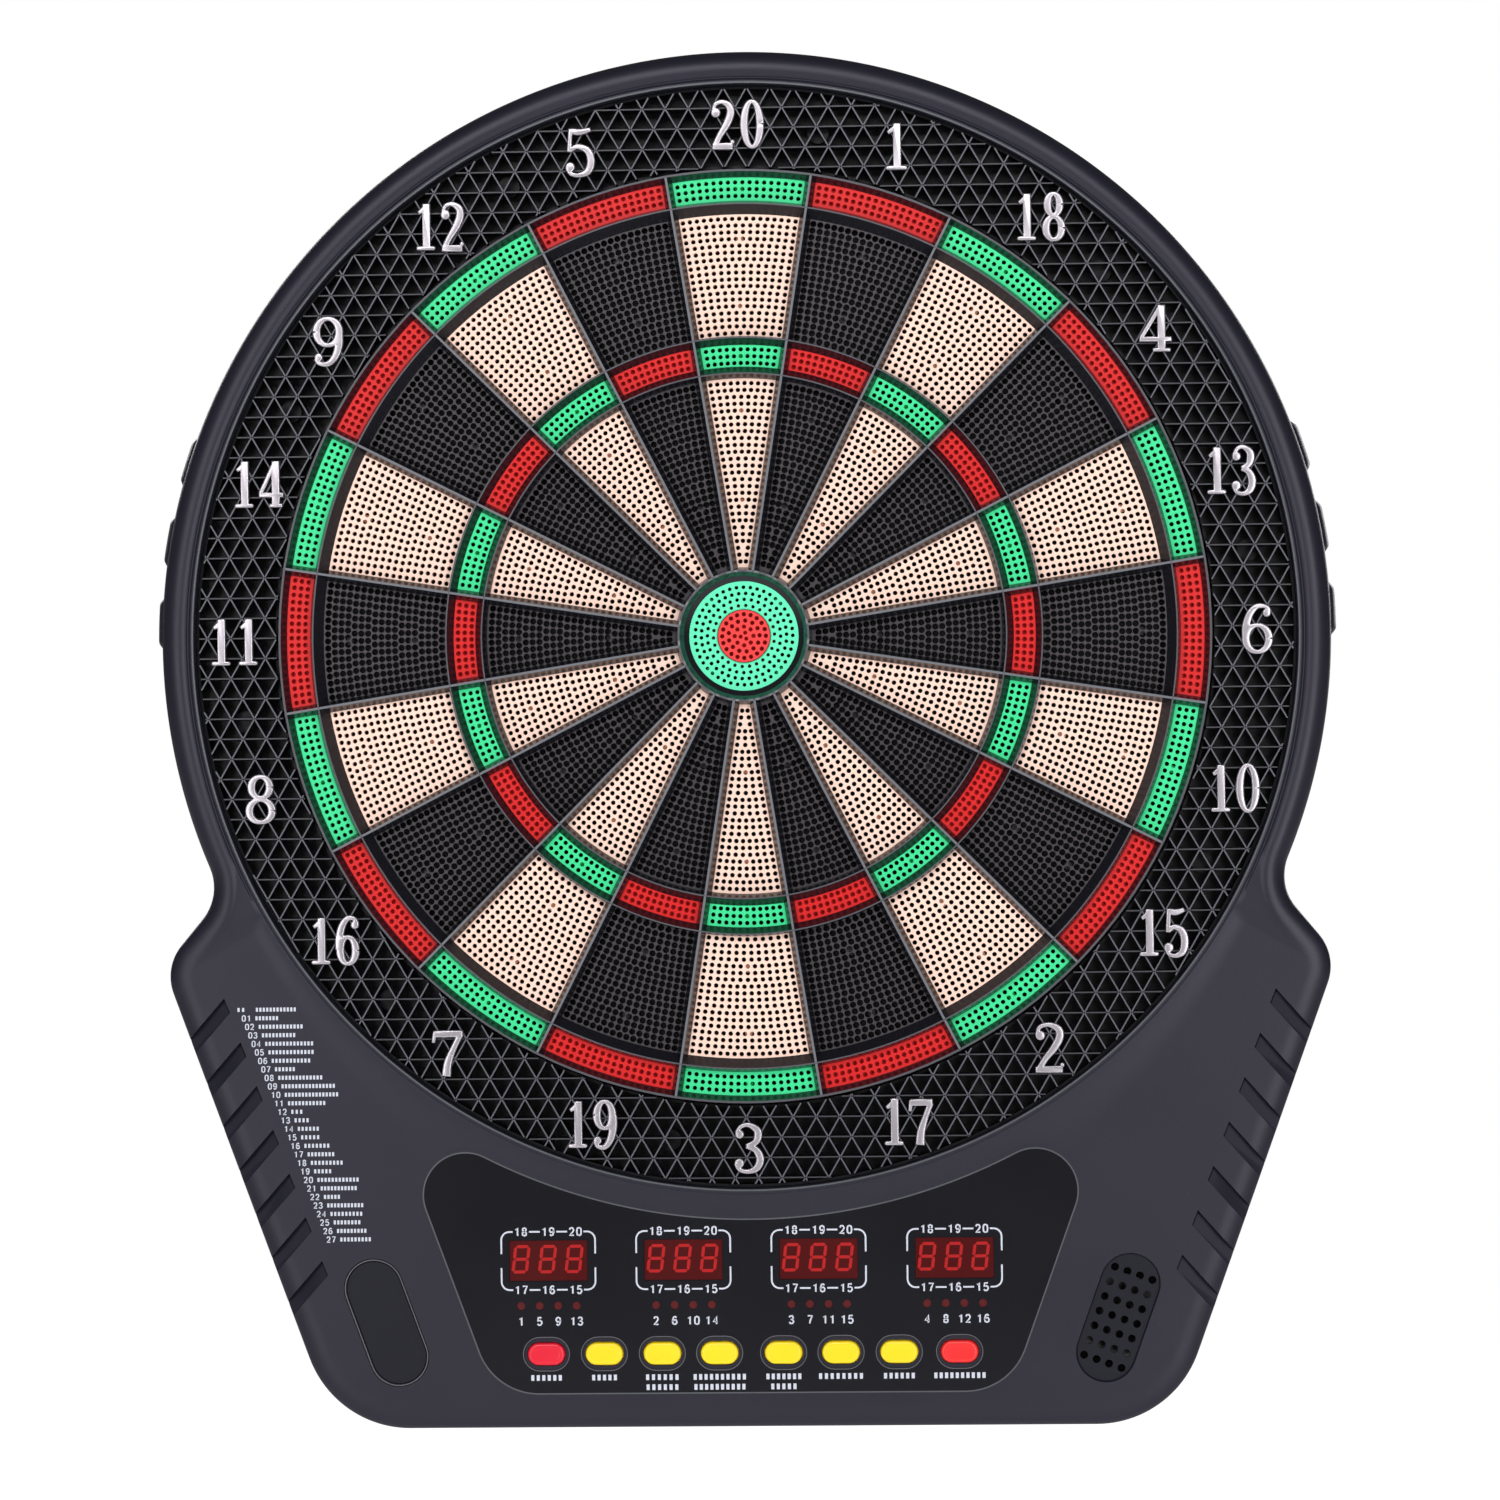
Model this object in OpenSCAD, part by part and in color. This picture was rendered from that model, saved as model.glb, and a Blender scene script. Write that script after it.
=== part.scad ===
// Electronic dartboard for soft-tip darts, hung upright on a wall.
// X runs across the board, Z runs up and the playing face looks towards -Y.
// The origin is on the wall plane, straight behind the middle of the bull.
// Inside the modules a shape is drawn flat, x across and y up, and its height is
// the distance from the wall plane.

/* [Outline] */
// Radius of the round playing head
head_r = 218; // [216:0.5:220]
// Height of the bull above the bottom edge
base_drop = 294; // [292:0.5:298]
// Lean of the base's long sides from the vertical, in degrees
side_lean = 20; // [19:0.5:21]
// Radius of the blend between head and base
waist_r = 18.5; // [17:0.5:19]
// Radius of the base's shoulders
shoulder_r = 18.4; // [17.5:0.1:18.6]
// Radius of the base's bottom corners
corner_r = 40; // [38:1:42]

/* [Depth] */
// Distance from the wall to the top of the rim bead
rim_h = 28; // [27.8:0.1:29]
// Distance from the wall to the flat face of the base
face_h = 26.6; // [26.4:0.1:26.8]
// Distance from the wall to the joint between the two shells
split_h = 11; // [10.5:0.1:11.2]
// Thickness of the shells' side walls
wall = 2.5; // [2:0.1:2.6]

/* [Playing surface] */
// Radius of the round window in the front housing
window_r = 205.4; // [205.3:0.1:205.6]
// Outer radius of the double ring, on the line of the spider
double_r = 173.3; // [173:0.1:173.5]
// Inner radius of the double ring
double_inner_r = 161; // [160.5:0.1:161.5]
// Outer radius of the triple ring
triple_r = 111.1; // [110.8:0.1:111.5]
// Inner radius of the triple ring
triple_inner_r = 97.8; // [97.5:0.1:98]
// Radius of the ring round the bull
bull_ring_r = 24.3; // [24:0.1:24.6]
// Radius of the inner bull
inner_bull_r = 9.9; // [9.5:0.1:10.2]
// Travel of a scoring segment
segment_travel = 1; // [0.8:0.1:1]

/* [Controls] */
// Travel of a push button
button_travel = 1; // [0.8:0.1:1]
// Width of a button cap
button_w = 14; // [13.5:0.1:14.2]
// Height of a button cap
button_t = 8.3; // [8:0.1:8.5]
// Width of a score display
display_w = 29; // [28:0.1:29.5]
// Height of a score display
display_t = 15; // [14.5:0.1:15.5]

/* [Hidden] */
// numbers in playing order, clockwise from the top
ORDER = [20, 1, 18, 4, 13, 6, 10, 15, 2, 17, 3, 19, 7, 16, 8, 11, 14, 9, 12, 5];
BUTTONS = ["power_button", "game_button", "option_button", "player_button",
           "double_button", "handicap_button", "sound_button", "start_button"];
$fn = 96;

housing_c = [0.24, 0.24, 0.27];
cover_c = [0.17, 0.17, 0.19];
spider_c = [0.1, 0.1, 0.12];
cream_c = [0.98, 0.9, 0.8];
black_c = [0.13, 0.12, 0.13];
green_c = [0.3, 0.9, 0.6];
red_c = [0.92, 0.22, 0.22];
steel_c = [0.75, 0.76, 0.78];

tiny = 0.05;
clear = 0.3;

// the shells
cover_inset = 1.5;
cover_wall = 2;
cover_floor = 2.5;
skin_h = 24;
ring_face_h = 25;
lip_r = 207.5;
bead_r = head_r - 0.2;
lip_h = 27.4;
ring_wall_rear = 14.1;
screw_ring_r = 211.5;
post_r = 4.2;
base_top_y = -88;
bump_r = 221;
bump_angles = [2.8, 10.9, 19];
bump_l = 18;
bump_lo = 3;
bump_hi = 9;
rest_ring_r = [203.5, 206.5];
hub_rib_r = 59;
rib_t = 2;
rib_h = 6;

// outline of the base: shoulder, waist and corner arcs joined by straight sides
shoulder_x = 197.8;
shoulder_y = -124.9;
side_n = [cos(side_lean), -sin(side_lean)];
side_off = side_n[0] * shoulder_x + side_n[1] * shoulder_y + shoulder_r;
waist_y = -91.5;
waist_x = sqrt(pow(head_r + waist_r, 2) - pow(waist_y, 2));
waist_span = norm([waist_x - shoulder_x, waist_y - shoulder_y]);
neck_a = atan2(waist_y - shoulder_y, waist_x - shoulder_x)
    - acos((waist_r + shoulder_r) / waist_span);
waist_a = atan2(waist_y, waist_x);
corner_y = corner_r - base_drop;
corner_x = (side_off - corner_r - side_n[1] * corner_y) / side_n[0];

// slots moulded in the sloping sides
groove_count = 7;
groove_pitch = 17.4;
groove_depth = 1.6;
groove_l = 24;
groove_dir = [0.616, -0.788];
groove_inner = [197.6, -132.4];
groove_w = [-2.5, -5.6];

// obround recesses at the foot of the base
recess_x = 136;
recess_y = -254.3;
recess_r = 10.65;
recess_half = 13.5;
recess_depth = 1.3;
grille_cols = 4;
grille_rows = 7;
grille_dx = 4.88;
grille_dy = 5.76;
grille_hole_r = 1.5;

// playing surface, measured from the wall plane
ridge_h = 27;
head_root_h = 22.15;
segment_h = 22;
segment_t = 3;
peg_end_h = 14.6 + segment_travel + tiny;
peg_r = 1.5;
bull_flange_h = [16.4, 17.8];
bull_flange_r = 13.5;
bull_stem_r = 5;
web_half = 0.45;
web_gap = 0.3;
head_half = 1.1;
spider_rear = 12;
web_rear = 16;
spider_rim_t = 2.6;
spider_flange_r = 179;
catch_in_r = 176.1;
catch_out_r = 205.2;
catch_flange_r = 207.4;
catch_floor = [14, 16];
catch_rib_h = 25.5;
catch_wall = 1.2;
catch_boss_h = 19;
catch_boss_r = 4;
numeral_r = 190.5;
numeral_lo = 25.5;
numeral_hi = 27;
digit_t = 19;
digit_w = 9;
digit_gap = 2;
stroke = 2.8;
numeral_post_r = 1.1;
sheet_r = 172;
membrane_h = [14, 14.6];
foam_h = [12, 14];
plate_h = [9.5, 12];
plate_r = 202.8;
backing_screw_r = 190;
backing_screw_n = 10;

// control area
panel_arc_r = 216.6;
panel_top_r = 16;
panel_top_y = -206.5;
panel_low_r = 24;
panel_bottom = -281.4;
panel_floor = 25.4;
panel_h = 26.5;
button_y = -266.4;
button_xs = [-76.4, -54.8, -33.2, -11.9, 11.9, 33.2, 54.8, 77.2];
button_front = 27.3;
button_rear = 22.4;
flange_front = 23.8;
flange_x = 1.5;
well_w = 17;
well_t = 12.3;
display_xs = [-75.3, -25, 25.3, 75.7];
display_y = -231.7;
display_front = 26.2;
led_y = -248.5;
led_pitch = 6.9;
led_r = 1.5;
pcb_h = [12, 13.6];
pcb_w = 196;
pcb_top = -214;
pcb_bottom = -278;
standoffs = [[-94, -219], [0, -219], [94, -219], [-94, -257], [0, -256], [94, -257]];
switch_side = 6;
switch_t = 3.5;
plunger_r = 1.7;
plunger_h = 18;
stem_r = 1.8;

// speaker, battery compartment and power jack
speaker_r = 20;
speaker_h = [22.5, 24];
basket_h = [13, 14.2];
basket_r = 11.5;
magnet_r = 11;
magnet_h = [5, 13];
bay_x = -136;
bay_y = -225;
bay_w = 54;
bay_t = 46;
bay_roof = 15;
bay_wall = 4.5;
ledge = 3;
door_t = 2;
door_play = 0.2;
jack_x = 30;
jack_h = [2.6, 10.9];
jack_w = 9;
jack_l = 13;
jack_barrel_r = 3.8;
jack_bore_r = 3.1;
jack_pin_r = 0.9;
jack_depth = 9;

// hanging keyholes
key_x = 100;
key_y = 100;
key_r = 4.5;
key_slot_r = 2.25;
key_slot_l = 9;
key_clear_r = 15;

// fasteners
base_screws = [[195, -140], [172, -205], [60, -286]];
ring_screw_angles = [0, 36, 72, 108, 144, 180];
screw_r = 1.45;
screw_tip = 19;
pilot_r = 1.5;
pass_r = 1.7;
head_r_screw = 2.8;
head_t = 2;
sink_r = 3.3;
sink_h = 3;
backing_screw_tip = 17.5;
backing_screw_shank_r = 1.25;
pcb_screw_tip = 19.5;
pcb_screw_r = 1.05;
pcb_screw_head_r = 2.4;
standoff_r = 3;
tail_w = 20;
tail_t = 0.3;
tail_slot_y = -165.4;
tail_end_y = -222;
tail_h = 8.7;
wire_r = 0.7;

// ---------- helpers ----------

module upright() rotate([90, 0, 0]) children();

module slab(lo, hi) translate([0, 0, lo]) linear_extrude(height = hi - lo) children();

module both_sides() {
    children();
    mirror([1, 0, 0]) children();
}

module annulus(r_out, r_in) difference() {
    circle(r = r_out);
    circle(r = r_in);
}

module obround(w, t) {
    square([w - t, t], center = true);
    translate([(w - t) / 2, 0]) circle(d = t);
    translate([(t - w) / 2, 0]) circle(d = t);
}

// points on an arc about c, from angle a0 to a1
function arc(c, r, a0, a1, n = 12) =
    [for (i = [0 : n]) c + r * [cos(a0 + (a1 - a0) * i / n), sin(a0 + (a1 - a0) * i / n)]];

function mirrored(pts) = [for (i = [len(pts) - 1 : -1 : 0]) [-pts[i][0], pts[i][1]]];

// right half of the board outline from the bottom up, moved inwards by inset
function right_side(inset) = concat(
    arc([corner_x, corner_y], corner_r - inset, -90, -side_lean),
    arc([shoulder_x, shoulder_y], shoulder_r - inset, -side_lean, neck_a),
    arc([waist_x, waist_y], waist_r + inset, 180 + neck_a, 180 + waist_a),
    arc([0, 0], head_r - inset, waist_a, 90, 60));

module outline(inset) {
    half = right_side(inset);
    polygon(concat(half, mirrored([for (i = [0 : len(half) - 2]) half[i]])));
}

// the part of the plane that the base takes, below the head
module below_waist() translate([-300, base_top_y - 400]) square([600, 400]);

// glossy panel below the playing head
module panel_outline(inset) {
    top_x = sqrt(pow(panel_arc_r + panel_top_r, 2) - pow(panel_top_y, 2));
    line = side_n[0] * top_x + side_n[1] * panel_top_y + panel_top_r;
    low_y = panel_bottom + panel_low_r;
    low_x = (line - panel_low_r - side_n[1] * low_y) / side_n[0];
    top_a = atan2(panel_top_y, top_x);
    half = concat(
        arc([low_x, low_y], panel_low_r - inset, -90, -side_lean),
        arc([top_x, panel_top_y], panel_top_r - inset, -side_lean, 180 + top_a),
        arc([0, 0], panel_arc_r + inset, top_a, -90, 20));
    polygon(concat(half, mirrored([for (i = [0 : len(half) - 2]) half[i]])));
}

module tilted_recess(r) translate([recess_x, recess_y]) rotate(-side_lean) {
    square([2 * r, 2 * recess_half], center = true);
    translate([0, recess_half]) circle(r = r);
    translate([0, -recess_half]) circle(r = r);
}

module grille_holes() translate([recess_x, recess_y]) rotate(-side_lean)
    for (i = [0 : grille_cols - 1], j = [0 : grille_rows - 1])
        translate([(i - (grille_cols - 1) / 2) * grille_dx, (j - (grille_rows - 1) / 2) * grille_dy])
            circle(r = grille_hole_r);

// slots that run out through the sloping side
module side_grooves() for (i = [0 : groove_count - 1])
    translate(groove_inner - i * groove_pitch * [sin(side_lean), cos(side_lean)])
        polygon([[0, 0], groove_dir * groove_l, groove_dir * groove_l + groove_w, groove_w]);

module at_screws() {
    for (a = ring_screw_angles)
        translate(screw_ring_r * [cos(a), sin(a)]) children();
    both_sides() for (p = base_screws) translate(p) children();
}

module at_buttons() for (x = button_xs) translate([x, button_y]) children();

module at_displays() for (x = display_xs) translate([x, display_y]) children();

module at_leds() for (x = display_xs, i = [-1.5 : 1 : 1.5])
    translate([x + i * led_pitch, led_y]) children();

module at_standoffs() for (p = standoffs) translate(p) children();

// ---------- shells ----------

// half-round bead in section, standing on the ring face
module bead() {
    mid = (bead_r + lip_r) / 2;
    half = (bead_r - lip_r) / 2;
    rise = rim_h - ring_face_h;
    rotate_extrude($fn = 240) polygon(concat(
        [[lip_r, skin_h + tiny]],
        [for (a = [180 : -15 : 0]) [mid + half * cos(a), ring_face_h + rise * sin(a)]],
        [[bead_r, skin_h + tiny]]));
}

module front_housing() color(housing_c) upright() difference() {
    union() {
        slab(split_h, ring_face_h) difference() {
            outline(0);
            outline(wall);
        }
        slab(skin_h, ring_face_h) difference() {
            outline(0);
            circle(r = window_r);
        }
        slab(ring_face_h, face_h) difference() {
            intersection() {
                outline(0);
                below_waist();
            }
            circle(r = window_r);
        }
        difference() {
            bead();
            slab(ring_face_h, rim_h + 1) below_waist();
        }
        slab(ring_wall_rear, lip_h) annulus(lip_r, window_r);
        slab(split_h, skin_h + tiny) at_screws() circle(r = post_r);
        slab(pcb_h[1], skin_h + tiny) at_standoffs() circle(r = standoff_r);
    }
    slab(split_h - 1, rim_h + 1) circle(r = window_r);
    slab(split_h - 1, ring_wall_rear) circle(r = catch_flange_r + clear);
    slab(panel_floor, rim_h) panel_outline(0);
    slab(skin_h - 1, rim_h) at_displays() square([display_w + 0.2, display_t + 0.2], center = true);
    slab(skin_h - 1, rim_h) at_leds() circle(r = led_r + 0.1);
    slab(skin_h - 1, rim_h) at_buttons() obround(button_w + 2 * clear, button_t + 2 * clear);
    slab(face_h - recess_depth, rim_h) both_sides() tilted_recess(recess_r);
    slab(skin_h - 1, rim_h) grille_holes();
    slab(face_h - groove_depth, rim_h) both_sides() side_grooves();
    slab(split_h - 1, screw_tip + 1) at_screws() circle(r = pilot_r);
    slab(pcb_h[1] - 1, pcb_screw_tip + 1) at_standoffs() circle(r = pcb_screw_r + tiny);
}

module keyhole() {
    circle(r = key_r);
    translate([-key_slot_r, 0]) square([2 * key_slot_r, key_slot_l]);
    translate([0, key_slot_l]) circle(r = key_slot_r);
}

module at_keys() for (sx = [-1, 1], sy = [-1, 1])
    translate([sx * key_x, sy * key_y]) children();

module bay_rect(grow) translate([bay_x, bay_y])
    square([bay_w + 2 * grow, bay_t + 2 * grow], center = true);

module rear_cover() color(cover_c) upright() difference() {
    union() {
        slab(0, cover_floor) outline(cover_inset);
        slab(0, split_h) difference() {
            outline(cover_inset);
            outline(cover_inset + cover_wall);
        }
        slab(cover_floor - tiny, spider_rear - tiny) difference() {
            annulus(rest_ring_r[1], rest_ring_r[0]);
            translate([-tail_w / 2 - 2, -head_r]) square([tail_w + 4, 40]);
        }
        slab(cover_floor - tiny, rib_h) difference() {
            union() {
                annulus(hub_rib_r + rib_t, hub_rib_r);
                for (a = [22.5 : 45 : 359]) rotate(a) translate([hub_rib_r + 1, -rib_t / 2])
                    square([rest_ring_r[0] + 1 - hub_rib_r, rib_t]);
            }
            at_keys() circle(r = key_clear_r);
        }
        slab(cover_floor - tiny, split_h) at_screws() circle(r = post_r);
        slab(cover_floor - tiny, bay_roof + 1.5) bay_rect(bay_wall);
        slab(bump_lo, bump_hi) for (s = [0, 1], a = bump_angles)
            mirror([s, 0]) rotate(a) translate([head_r - 4, -bump_l / 2])
                square([bump_r - head_r + 4, bump_l]);
    }
    slab(-1, bay_roof) bay_rect(0);
    slab(-1, door_t) bay_rect(ledge);
    slab(-1, sink_h) at_screws() circle(r = sink_r);
    slab(-1, split_h + 1) at_screws() circle(r = pass_r);
    slab(-1, rib_h + 1) at_keys() keyhole();
    translate([jack_x, -base_drop - 1, (jack_h[0] + jack_h[1]) / 2]) rotate([-90, 0, 0])
        cylinder(r = jack_barrel_r + 0.1, h = 6);
}

module badge_plate() color(cover_c) upright()
    slab(face_h - recess_depth, face_h - recess_depth + 0.5) mirror([1, 0, 0])
        tilted_recess(recess_r - 0.4);

// ---------- playing head ----------

module catch_ring() color(black_c) upright() difference() {
    union() {
        slab(catch_floor[0], catch_floor[1]) annulus(catch_out_r, catch_in_r);
        slab(plate_h[1], catch_floor[0] + tiny) annulus(catch_flange_r, plate_r + 0.2);
        slab(catch_floor[0], catch_rib_h) annulus(catch_in_r + catch_wall, catch_in_r);
        slab(catch_floor[0], catch_rib_h) annulus(catch_out_r, catch_out_r - catch_wall);
        slab(catch_floor[1] - tiny, catch_rib_h) for (i = [0 : 19]) rotate(9 + 18 * i)
            translate([catch_in_r + 1, -0.5]) square([catch_out_r - catch_in_r - 2, 1]);
        slab(plate_h[1], catch_boss_h) at_backing_screws() circle(r = catch_boss_r);
    }
    slab(plate_h[1] - 1, backing_screw_tip + 0.7) at_backing_screws()
        circle(r = backing_screw_shank_r + tiny);
}

module at_backing_screws() for (i = [0 : backing_screw_n - 1])
    rotate(9 + 36 * i) translate([backing_screw_r, 0]) children();

// lines of the web, half as wide as given: spokes and the rings between them
module web(half) {
    for (r = [bull_ring_r, triple_inner_r, triple_r, double_inner_r])
        annulus(r + half, r - half);
    for (i = [0 : 19]) rotate(9 + 18 * i) translate([bull_ring_r, -half])
        square([double_r - bull_ring_r, 2 * half]);
}

// T-shaped webs: thin stems, and wider heads that keep the segments in
module spider() color(spider_c) upright() {
    slab(web_rear, head_root_h + tiny) {
        web(web_half);
        annulus(double_r + spider_rim_t, double_r - web_half);
    }
    slab(head_root_h, ridge_h) {
        web(head_half);
        annulus(double_r + spider_rim_t, double_r - head_half);
    }
    slab(spider_rear, web_rear + tiny) annulus(double_r + spider_rim_t, double_r - web_half);
    slab(spider_rear, catch_floor[0] - tiny) annulus(spider_flange_r, double_r - web_half);
}

// bars lit for each digit: top, upper left, upper right, middle, lower left, lower right, bottom
DIGIT_BARS = [
    [1, 1, 1, 0, 1, 1, 1], [0, 0, 1, 0, 0, 1, 0], [1, 0, 1, 1, 1, 0, 1], [1, 0, 1, 1, 0, 1, 1],
    [0, 1, 1, 1, 0, 1, 0], [1, 1, 0, 1, 0, 1, 1], [1, 1, 0, 1, 1, 1, 1], [1, 0, 1, 0, 0, 1, 0],
    [1, 1, 1, 1, 1, 1, 1], [1, 1, 1, 1, 0, 1, 1]
];

module digit(d) {
    bars = DIGIT_BARS[d];
    half = digit_t / 2;
    for (k = [0 : 2]) if (bars[3 * k])
        translate([0, (1 - k) * (half - stroke / 2)]) square([digit_w, stroke], center = true);
    for (k = [0, 1], s = [0, 1]) if (bars[3 * k + s + 1])
        translate([(s - 0.5) * (digit_w - stroke), (0.5 - k) * (half - stroke / 2)])
            square([stroke, half + stroke / 2], center = true);
}

module numeral(d) {
    post_x = (digit_w - stroke) / 2 * (d == 6 ? -1 : 1);
    slab(numeral_lo, numeral_hi) digit(d);
    slab(catch_floor[1], numeral_lo + tiny)
        translate([post_x, d == 2 ? stroke : -stroke]) circle(r = numeral_post_r);
}

module number(n) {
    step = (digit_w + digit_gap) / 2;
    if (n > 9) {
        translate([-step, 0, 0]) numeral(floor(n / 10));
        translate([step, 0, 0]) numeral(n % 10);
    } else
        numeral(n);
}

module numerals() color(steel_c) upright() for (i = [0 : 19])
    translate(numeral_r * [sin(18 * i), cos(18 * i), 0]) number(ORDER[i]);

// ring sector between two spokes, clear of their webs all round
module sector(r_in, r_out, gap) intersection() {
    annulus(r_out - gap, r_in + gap);
    translate([0, gap / sin(9)]) polygon([
        [0, 0],
        400 * [sin(9), cos(9)],
        400 * [-sin(9), cos(9)]
    ]);
}

module segment(r_in, r_out, pegs) {
    slab(segment_h - segment_t, segment_h) sector(r_in, r_out, web_half + web_gap);
    for (r = pegs) slab(peg_end_h, segment_h - segment_t + tiny)
        translate([0, r]) circle(r = peg_r);
}

// double, outer single, triple and inner single of one number
module bed(i) upright() rotate(-18 * i) {
    ring_c = i % 2 == 0 ? green_c : red_c;
    flat_c = i % 2 == 0 ? cream_c : black_c;
    color(ring_c) segment(double_inner_r, double_r, [167]);
    color(flat_c) segment(triple_r, double_inner_r, [124, 148]);
    color(ring_c) segment(triple_inner_r, triple_r, [104.5]);
    color(flat_c) segment(bull_ring_r, triple_inner_r, [50, 84]);
}

module bull_outer() color(green_c) upright() {
    slab(segment_h - segment_t, segment_h)
        annulus(bull_ring_r - web_half - web_gap, inner_bull_r + web_gap);
    for (a = [0 : 90 : 270]) slab(peg_end_h, segment_h - segment_t + tiny)
        rotate(a) translate([18, 0]) circle(r = peg_r);
}

module bull_inner() color(red_c) upright() {
    slab(segment_h - segment_t - 1, segment_h) circle(r = inner_bull_r);
    slab(bull_flange_h[0], bull_flange_h[1]) circle(r = bull_flange_r);
    slab(peg_end_h, segment_h - segment_t) circle(r = bull_stem_r);
}

module membrane_switch() color([0.85, 0.88, 0.9]) upright()
    slab(membrane_h[0], membrane_h[1]) circle(r = sheet_r);

module foam_sheet() color([0.3, 0.3, 0.32]) upright()
    slab(foam_h[0], foam_h[1]) difference() {
        circle(r = sheet_r);
        tail_slot();
    }

module tail_slot() translate([-tail_w / 2 - 0.5, tail_slot_y - 1])
    square([tail_w + 1, 1.3]);

module backing_plate() color([0.5, 0.5, 0.52]) upright()
    slab(plate_h[0], plate_h[1]) difference() {
        circle(r = plate_r);
        tail_slot();
        at_backing_screws() circle(r = backing_screw_shank_r + clear);
    }

module membrane_tail() color([0.85, 0.88, 0.9]) upright() translate([-tail_w / 2, 0, 0]) {
    translate([0, tail_slot_y - tail_t, tail_h])
        cube([tail_w, tail_t, membrane_h[0] - tail_h]);
    translate([0, tail_end_y, tail_h])
        cube([tail_w, tail_slot_y - tail_end_y, tail_t]);
    translate([0, tail_end_y - tail_t, tail_h])
        cube([tail_w, tail_t + tiny, pcb_h[0] - tail_h]);
}

// ---------- controls ----------

module control_panel() color([0.11, 0.11, 0.13]) upright()
    slab(panel_floor, panel_h) difference() {
        panel_outline(0.15);
        at_buttons() obround(well_w, well_t);
        at_displays() square([display_w + 0.2, display_t + 0.2], center = true);
        at_leds() circle(r = led_r + 0.1);
    }

module main_pcb() color([0.1, 0.35, 0.2]) upright()
    slab(pcb_h[0], pcb_h[1]) difference() {
        translate([-pcb_w / 2, pcb_bottom]) square([pcb_w, pcb_top - pcb_bottom]);
        at_standoffs() circle(r = pcb_screw_r + clear);
    }

module display(i) color([0.45, 0.05, 0.06]) upright()
    slab(pcb_h[1], display_front) translate([display_xs[i], display_y])
        square([display_w, display_t], center = true);

module player_leds() color([0.5, 0.05, 0.06]) upright()
    slab(pcb_h[1], display_front) at_leds() circle(r = led_r);

module push_button(i) color(i == 0 || i == 7 ? red_c : [0.98, 0.9, 0.15]) upright()
    translate([button_xs[i], button_y, 0]) {
        slab(button_rear, button_front) obround(button_w, button_t);
        slab(button_rear, flange_front) obround(button_w + 2 * flange_x, button_t + 2 * flange_x);
        slab(plunger_h + button_travel + tiny, button_rear + tiny) circle(r = stem_r);
    }

module button_switches() color([0.2, 0.2, 0.2]) upright() {
    slab(pcb_h[1], pcb_h[1] + switch_t) at_buttons() square(switch_side, center = true);
    slab(pcb_h[1] + switch_t - tiny, plunger_h) at_buttons() circle(r = plunger_r);
}

// ---------- sound and power ----------

module at_speaker() translate([recess_x, recess_y, 0]) children();

module speaker_frame() color(steel_c) upright() at_speaker() rotate_extrude() polygon([
    [0, basket_h[0]],
    [basket_r, basket_h[0]],
    [speaker_r - 2, speaker_h[0]],
    [speaker_r, speaker_h[0]],
    [speaker_r, speaker_h[1]],
    [speaker_r - 3, speaker_h[1]],
    [basket_r - 1, basket_h[1]],
    [0, basket_h[1]]
]);

module speaker_cone() color([0.18, 0.18, 0.18]) upright() at_speaker() rotate_extrude() polygon([
    [0, 17],
    [5, 16],
    [6, 16],
    [15.5, 22.2],
    [16.3, 23.2],
    [15.9, 23.6],
    [14.8, 23],
    [6, 17.2],
    [4, 18.5],
    [0, 19.5]
]);

module speaker_magnet() color([0.35, 0.35, 0.37]) upright() at_speaker()
    slab(magnet_h[0], magnet_h[1]) circle(r = magnet_r);

module battery_door() color(cover_c) upright() {
    slab(0, door_t - tiny) bay_rect(ledge - door_play);
    slab(door_t - 2 * tiny, 5) translate([bay_x - 6, bay_y + bay_t / 2 - 2]) square([12, 1.8]);
}

module battery_contacts() color(steel_c) upright() translate([bay_x, bay_y, 0])
    for (s = [0, 1]) mirror([s, 0, 0]) {
        translate([bay_w / 2 - 0.4, -bay_t / 2 + 1, door_t + 1])
            cube([0.4, bay_t - 2, bay_roof - door_t - 2]);
        for (k = [-1 : 1]) translate([bay_w / 2 - 1.6, k * 15, 8.5]) rotate([0, 90, 0])
            cylinder(r = 3.2, h = 1.3);
    }

module dc_jack() color([0.12, 0.12, 0.12]) upright() {
    mid = (jack_h[0] + jack_h[1]) / 2;
    inner = cover_inset + cover_wall - base_drop;
    difference() {
        union() {
            translate([jack_x - jack_w / 2, inner, jack_h[0]])
                cube([jack_w, jack_l, jack_h[1] - jack_h[0]]);
            translate([jack_x, inner - cover_wall, mid]) rotate([-90, 0, 0])
                cylinder(r = jack_barrel_r, h = cover_wall + 1);
        }
        translate([jack_x, inner - 5, mid]) rotate([-90, 0, 0])
            cylinder(r = jack_bore_r, h = jack_depth + 5);
    }
    translate([jack_x, inner, mid]) rotate([-90, 0, 0]) cylinder(r = jack_pin_r, h = jack_depth + 1);
}

// ---------- fasteners and wiring ----------

module screw(head_lo, tip, r, rh) {
    slab(head_lo, head_lo + head_t) circle(r = rh);
    slab(head_lo + head_t - tiny, tip) circle(r = r);
}

module housing_screws() color(steel_c) upright()
    at_screws() screw(sink_h - head_t, screw_tip, screw_r, head_r_screw);

module backing_screws() color(steel_c) upright()
    at_backing_screws()
        screw(plate_h[0] - head_t, backing_screw_tip, backing_screw_shank_r, head_r_screw);

module pcb_screws() color(steel_c) upright()
    at_standoffs() screw(pcb_h[0] - head_t, pcb_screw_tip, pcb_screw_r, pcb_screw_head_r);

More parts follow.
